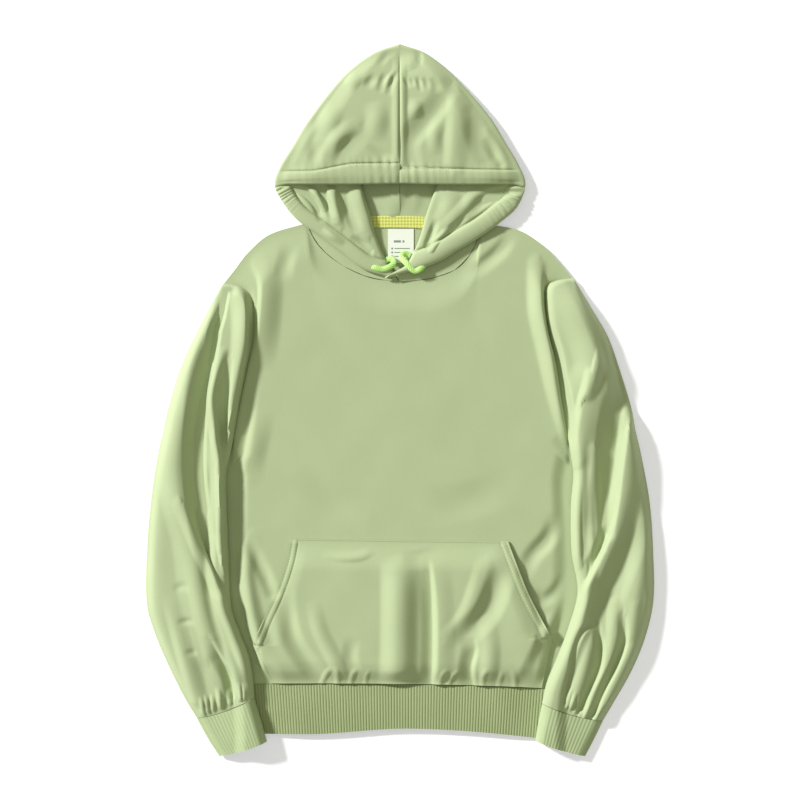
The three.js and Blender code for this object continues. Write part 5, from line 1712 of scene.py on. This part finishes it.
            def lower_z(_share: np.ndarray, x: np.ndarray, y: np.ndarray) -> np.ndarray:
                """Height of the layer on the floor, with soft folds where it shows in the opening.

                Args:
                    _share: Shares along the layer; not used.
                    x: Places across the garment.
                    y: Places along it.

                Returns:
                    The heights.
                """
                width = abs(float(point["fold"][0]))
                shown = smooth((width - 4 - np.abs(x)) / 12) * smooth((306 - y) / 12) * smooth((y - 243) / 10)
                return LOWER_Z + np.maximum(inner_folds.lift(x, y), 0) * shown

            turn_z = SECOND_LAYER if j == count else (float(middle_z(np.array([1.0]), 0, 0)[0]) + LOWER_Z) / 2
            fold_z = (flap + middle) / 2 + crossing * 0.8
            edge_z = (upper + flap) / 2 if j <= forehead else None
            if j > forehead:
                start = flap_z(np.array([0.0]), point["edge"][:1], point["edge"][1:])[0] - 2.0
                blend = float(smooth(down * 12))
                edge_z = (UPPER_Z + FLAP_Z) / 2 * (1 - blend) + start * blend
            flap_part = self.layer(point["edge"], point["fold"],
                                   self.layer_shares(self.flap, near("edge", "fold"), near("edge", "fold")),
                                   edge_z, fold_z, span("edge", "fold", 0.28), flap_z)
            shares = self.layer_shares(self.middle, near("fold", "turn", 0.08), near("fold", "turn", 0.06))
            middle_part = self.layer(point["fold"], point["turn"], shares, fold_z, turn_z,
                                     span("fold", "turn", 0.1), middle_z,
                                     self._neck_bend(neck_line, left, last_row, shares, neck, down))
            lower_part = self.layer(point["turn"], point["seam"],
                                    self.layer_shares(self.lower, near("turn", "seam"), 0), turn_z, None,
                                    span("turn", "seam", 0.28), lower_z)
            if j <= forehead:
                shares = self.layer_shares(self.upper, 0, near("open", "edge"))
                arch = np.column_stack([np.zeros(shares.shape), 4.2 * shares ** 2 * smooth((1 - shares) * 9)])
                upper_part = self.layer(point["open"], point["edge"], shares, None, edge_z,
                                        span("open", "edge", 0.28), crown_z, arch * smooth(above * 2.4 - 1.4))
                nose = upper_part
            elif j <= forehead + HEM_ROWS:
                upper_part = self._hem_row(nose, j - forehead)
                upper_part[-1] = flap_part[0]
            else:
                upper_part = np.repeat(flap_part[:1], self.upper + 1, axis=0)
            lines.append(np.vstack([upper_part, flap_part[1:], middle_part[1:], lower_part[1:]]))
        places = np.array(lines)
        cells_j, cells_i = np.indices((places.shape[0] - 1, places.shape[1] - 1))
        keep = (cells_i >= self.upper) | (cells_j < forehead + HEM_ROWS)
        piece = cloth_wall(f"hood_panel_{side.value}", places, keep=keep)
        finish_piece(piece, fleece, "fleece", f"hood_{side.value}")

    def _hem_row(self, nose: np.ndarray, k: int) -> np.ndarray:
        """A row of the hem turned under the forehead.

        Args:
            nose: The forehead's last row.
            k: Which row after it.

        Returns:
            Its points.
        """
        row = nose.copy()
        half = HEM_ROWS // 2
        angle = math.pi * min(k / half, 1)
        inward = smooth(np.linspace(1, 0, len(nose)) * 30)
        back = max(k - half, 0) * 1.6
        row[:, 1] += (-NOSE * math.sin(angle) + back) * inward
        row[:, 2] -= NOSE * (1 - math.cos(angle)) * inward
        return row

    def _casing(self, x: np.ndarray, y: np.ndarray) -> np.ndarray:
        """Relief of the turned hem along the forehead, with its stitched line.

        Args:
            x: Places across the garment.
            y: Places along it.

        Returns:
            The relief.
        """
        line = casing_line(x)
        low = 295.5
        across = np.clip((line - y) / (line - low), 0, 1)
        band = np.where(y < line, 2.6 * np.sqrt(np.clip(1 - (2 * across - 0.9) ** 2, 0, 1)), 0)
        groove = np.exp(-((y - line) / 1.7) ** 2)
        near_seam = np.exp(-((x + 4) / 42) ** 2)
        gather = (0.25 + near_seam) * np.sin(x * 0.62 + 1.7 * np.sin(x * 0.11) + (y - low) * 0.05)
        pucker = gather * np.exp(-((y - line) / 8) ** 2) + 0.8 * gather * np.exp(-((y - low) / 9) ** 2)
        return band - 1.6 * groove + 0.8 * pucker

    def _band(self, edge: list, x: np.ndarray, y: np.ndarray, left: bool) -> np.ndarray:
        """Relief of the turned hem along a side of the opening: a puffed band, its stitched line
        and the gathers by the corner.

        Args:
            edge: The free edge.
            x: Places across the garment.
            y: Places along it.
            left: Whether it is the left side.

        Returns:
            The relief.
        """
        away, share, _ = near_line(edge, x, y, 30)
        wide = BAND_LEFT if left else BAND_RIGHT
        inside = away / wide
        band = 3.8 * np.sqrt(np.clip(1 - (2 * np.clip(inside, 0, 1) - 0.85) ** 2, 0, 1)) * (inside < 1)
        groove = 2.2 * np.exp(-((away - wide) / 2.0) ** 2)
        length = 205
        run = share * length
        reach = 26 if left else 46
        gather = np.exp(-((run - 8) / reach) ** 2) * np.clip(1.25 - inside, 0, 1)
        ripple = np.sin(run * (1.25 if left else 1.05) + 1.3 * np.sin(run * 0.37) + inside * 1.6)
        end = smooth((1 - share) * 12)
        return (band - groove + 1.05 * gather * ripple) * (0.35 + 0.65 * end)

    def _neck_bend(self, line: list, left: bool, last_row: dict, shares: np.ndarray, neck: float,
                   down: float) -> np.ndarray:
        """How far the layer under the flap bends to the neck seam.

        Args:
            line: The neck seam.
            left: Whether it is the left one.
            last_row: The hood's last row.
            shares: Shares along the layer.
            neck: How far down the neck the row is.
            down: Share from the forehead to the neck.

        Returns:
            The offsets.
        """
        cells = 6
        stops = np.arange(cells + 1) / cells
        points = beside(line, 1 - stops if left else stops, -SEAM)
        points[-1] = beside(line, np.array([0.0 if left else 1.0]), -SEAM * 8)[0]
        curve = np.column_stack([np.interp(shares, stops, points[:, d]) for d in (0, 1)])
        fold = np.array([last_row["foldX"], last_row["foldY"]])
        turn = np.array([last_row["turnX"], last_row["turnY"]])
        chord = fold + (turn - fold) * shares[:, None]
        amount = neck * neck * 0.9 if down < 1 else 1.0
        return (curve - chord) * amount


@dataclass
class NeckTrim:
    """Neck tape and size label."""

    tape_columns: int = 120
    tape_rows: int = 12

    def build(self) -> None:
        """Make the tape and the label."""
        u = np.linspace(0, 1, self.tape_columns + 1)
        rows = []
        for v in np.linspace(-0.5, 0.5, self.tape_rows + 1):
            line = beside(TAPE_LINE, u, TAPE_WIDTH * v)
            height = CLOTH + SEAM + TRIM / 2 + 0.15 * math.cos(v * math.pi)
            rows.append(np.column_stack([line, np.full(u.shape, height)]))
        tape = cloth_wall("neck_tape_weave", np.array(rows), thick=TRIM)
        finish_piece(tape, Tape().material(), "tape", "neck_tape")
        u, v = np.meshgrid(np.linspace(0, 1, 37), np.linspace(0, 1, 47))
        sway = 1.4 * np.sin(v * 2.8) * v
        x = LABEL_X + LABEL_WIDTH * (u - 0.5)
        y = LABEL_TOP - LABEL_LENGTH * v
        z = CLOTH + SEAM + TRIM / 2 + sway * (1.1 - u)
        label = cloth_wall("size_label", np.dstack([x, y, z]), thick=0.6)
        finish_piece(label, Satin().material(), "label", "neck_label")


@dataclass
class Sewing:
    """Rows of lock stitches on the finished pieces: one small stitch, laid again and again."""

    length: float = 2.8
    pitch: float = 4.0
    width: float = 0.8
    high: float = 0.55
    sides: int = 6
    rings: int = 4

    def build(self) -> None:
        """Sew the casing, the bands of the opening, the pocket and the tape."""
        # The thread on the cloth is darker than the cloth: painted shade for the small dents the stitches sit
        # in
        thread = Plain("thread_painted_dark_as_shade", "8f9e6a").material()
        for side in Side:
            left = side is Side.LEFT
            wide = -BAND_LEFT if left else BAND_RIGHT
            x = np.linspace(4, 148, 30) * (-1 if left else 1)
            casing = np.column_stack([x, casing_line(x)])
            band = beside(free_edge(side), np.linspace(0.05, 0.95, 30), wide)
            self.rows(f"hood_stitches_{side.value}", f"hood_panel_{side.value}", [casing, band], thread)
        lines = [np.array([(-141, -188), (0, -190), (143, -192)], float)]
        for opening, low, inward in ((POCKET_LEFT, POCKET_LEFT_LOW, -1), (POCKET_RIGHT, POCKET_RIGHT_LOW, 1)):
            for away in (POCKET_ROW, POCKET_BAND):
                lines.append(beside(opening, np.linspace(0.03, 0.97, 20), away * inward))
            lines.append(beside(low, np.linspace(0.08, 0.92, 8), POCKET_ROW * inward))
        self.rows("pocket_stitches", "kangaroo_pocket", lines, thread)
        pale = Plain("tape_thread", "e6eaa0").material()
        share = np.linspace(0.01, 0.99, 30)
        edges = [beside(TAPE_LINE, share, away) for away in (-TAPE_WIDTH * 0.41, TAPE_WIDTH * 0.41)]
        self.rows("tape_stitches", "neck_tape_weave", edges, pale, "tape", 2.6)

    def rows(self, name: str, on: str, lines: list, material: bpy.types.Material, slot: str = "fleece",
             pitch: float | None = None) -> None:
        """Lay rows of stitches on a piece.

        Args:
            name: Name of the stitches.
            on: The piece they are sewn on.
            lines: The rows, each a line of points seen from above.
            material: The thread's finish.
            slot: Name of a material slot, passed on and not used.
            pitch: Distance from stitch to stitch where it isn't the usual one.
        """
        shape, faces = self._stitch()
        surface = bpy.data.objects[on]
        pitch = pitch or self.pitch
        reach = self.length * pitch / self.pitch / 2
        points, polygons = [], []
        for line in lines:
            length = float(np.hypot(*np.diff(line, axis=0).T).sum())
            count = max(int(length / pitch), 1)
            for share in (np.arange(count) + 0.5) / count:
                ends = along(line, np.clip([share - reach / length, share + reach / length], 0, 1))
                hits = [self._on(surface, end) for end in ends]
                if hits[0] is None or hits[1] is None:
                    continue
                run = hits[1] - hits[0]
                run /= max(np.linalg.norm(run), 1e-9)
                wide = np.cross(run, [0, 0, 1])
                wide /= max(np.linalg.norm(wide), 1e-9)
                up = np.cross(wide, run)
                middle = (hits[0] + hits[1]) / 2
                polygons += [[len(points) + k for k in face] for face in faces]
                points += list(middle + (shape[:, :1] * run * reach + shape[:, 1:2] * wide * self.width / 2
                                         + shape[:, 2:] * up * self.high / 2) * MM)
        mesh = bpy.data.meshes.new(name)
        mesh.from_pydata([tuple(p) for p in points], [], polygons)
        mesh.shade_smooth()
        piece = bpy.data.objects.new(name, mesh)
        bpy.context.scene.collection.objects.link(piece)
        finish_piece(piece, material, slot)

    def _stitch(self) -> tuple:
        """Shape one stitch, 2 units long, wide and high.

        Returns:
            Its points and its faces.
        """
        bpy.ops.object.select_all(action="DESELECT")
        bpy.ops.mesh.primitive_uv_sphere_add(segments=self.sides, ring_count=self.rings, radius=1)
        ball = bpy.context.object
        points = np.array([tuple(v.co) for v in ball.data.vertices])[:, [2, 0, 1]]
        faces = [list(p.vertices) for p in ball.data.polygons]
        bpy.ops.object.delete()
        return points, faces

    def _on(self, surface: bpy.types.Object, place: np.ndarray) -> np.ndarray | None:
        """Find the point of a piece straight below a place.

        Args:
            surface: The piece.
            place: The place, seen from above.

        Returns:
            The point in metres, or none where the piece isn't below it.
        """
        start = Vector(((place[0] - CENTRE[0]) * MM, (place[1] - CENTRE[1]) * MM, 1.0))
        hit, point, _, _ = surface.ray_cast(start, Vector((0, 0, -1)))
        return np.array(point) if hit else None


@dataclass
class LabelPrint:
    """Plain bars in place of the label's lettering."""

    bars: tuple = ((-4.6, -17.0, 9.6, 3.0), (3.6, -17.0, 2.6, 3.0), (-11.6, -26.6, 2.4, 2.4),
                   (2.0, -26.6, 21.0, 1.3), (-11.6, -31.9, 2.4, 2.4), (0.5, -31.9, 18.0, 1.3),
                   (-11.6, -37.3, 2.4, 2.4), (-1.0, -37.3, 15.0, 1.3))
    thick: float = 0.12
    lowest: float = 3.0

    def build(self) -> None:
        """Print the bars, each a thin plate on the label."""
        label = bpy.data.objects["size_label"]
        ink = Plain("grey_ink", "8b908c", 0.7).material()
        bpy.ops.object.select_all(action="DESELECT")
        plates = []
        for across, down, wide, high in self.bars:
            x, y = (LABEL_X + across - CENTRE[0]) * MM, (LABEL_TOP + down - CENTRE[1]) * MM
            bpy.ops.mesh.primitive_cube_add(size=1)
            plate = bpy.context.object
            for v in plate.data.vertices:
                px, py = x + v.co.x * wide * MM, y + v.co.y * high * MM
                hit, point, _, _ = label.ray_cast(Vector((px, py, 1.0)), Vector((0, 0, -1)))
                v.co = (px, py, (point.z if hit else self.lowest * MM) + v.co.z * self.thick * MM)
            plates.append(plate)
        bpy.ops.object.select_all(action="DESELECT")
        for plate in plates:
            plate.select_set(True)
        bpy.context.view_layer.objects.active = plates[0]
        bpy.ops.object.join()
        piece = bpy.context.object
        piece.name = piece.data.name = "label_print"
        finish_piece(piece, ink, "label")


def main() -> None:
    """Build the scene in order and report each piece."""
    studio = Studio()
    studio.camera()
    strings = Drawstring()
    for side in Side:
        strings.build(side)
    studio.floor()
    studio.light()
    fleece = Fleece().material()
    rib = Fleece(name="cotton_rib_knit", face="a6b387", shade="9aa679").material()
    # The cuffs take the rib knit in lighter colours than the hem: painted light for the light falling on the
    # cuffs
    cuff_rib = Fleece(name="rib_knit_painted_lighter", face="b8c79c", shade="adbb91").material()
    body = Body()
    body.build(fleece)
    tubes = Tubes()
    hood = Hood()
    for side in Side:
        tubes.sleeve(side, fleece)
        tubes.cuff(side, cuff_rib)
        hood.panel(side, body, fleece)
    tubes.hem(rib)
    NeckTrim().build()
    Sewing().build()
    LabelPrint().build()


if __name__ == "__main__":
    main()
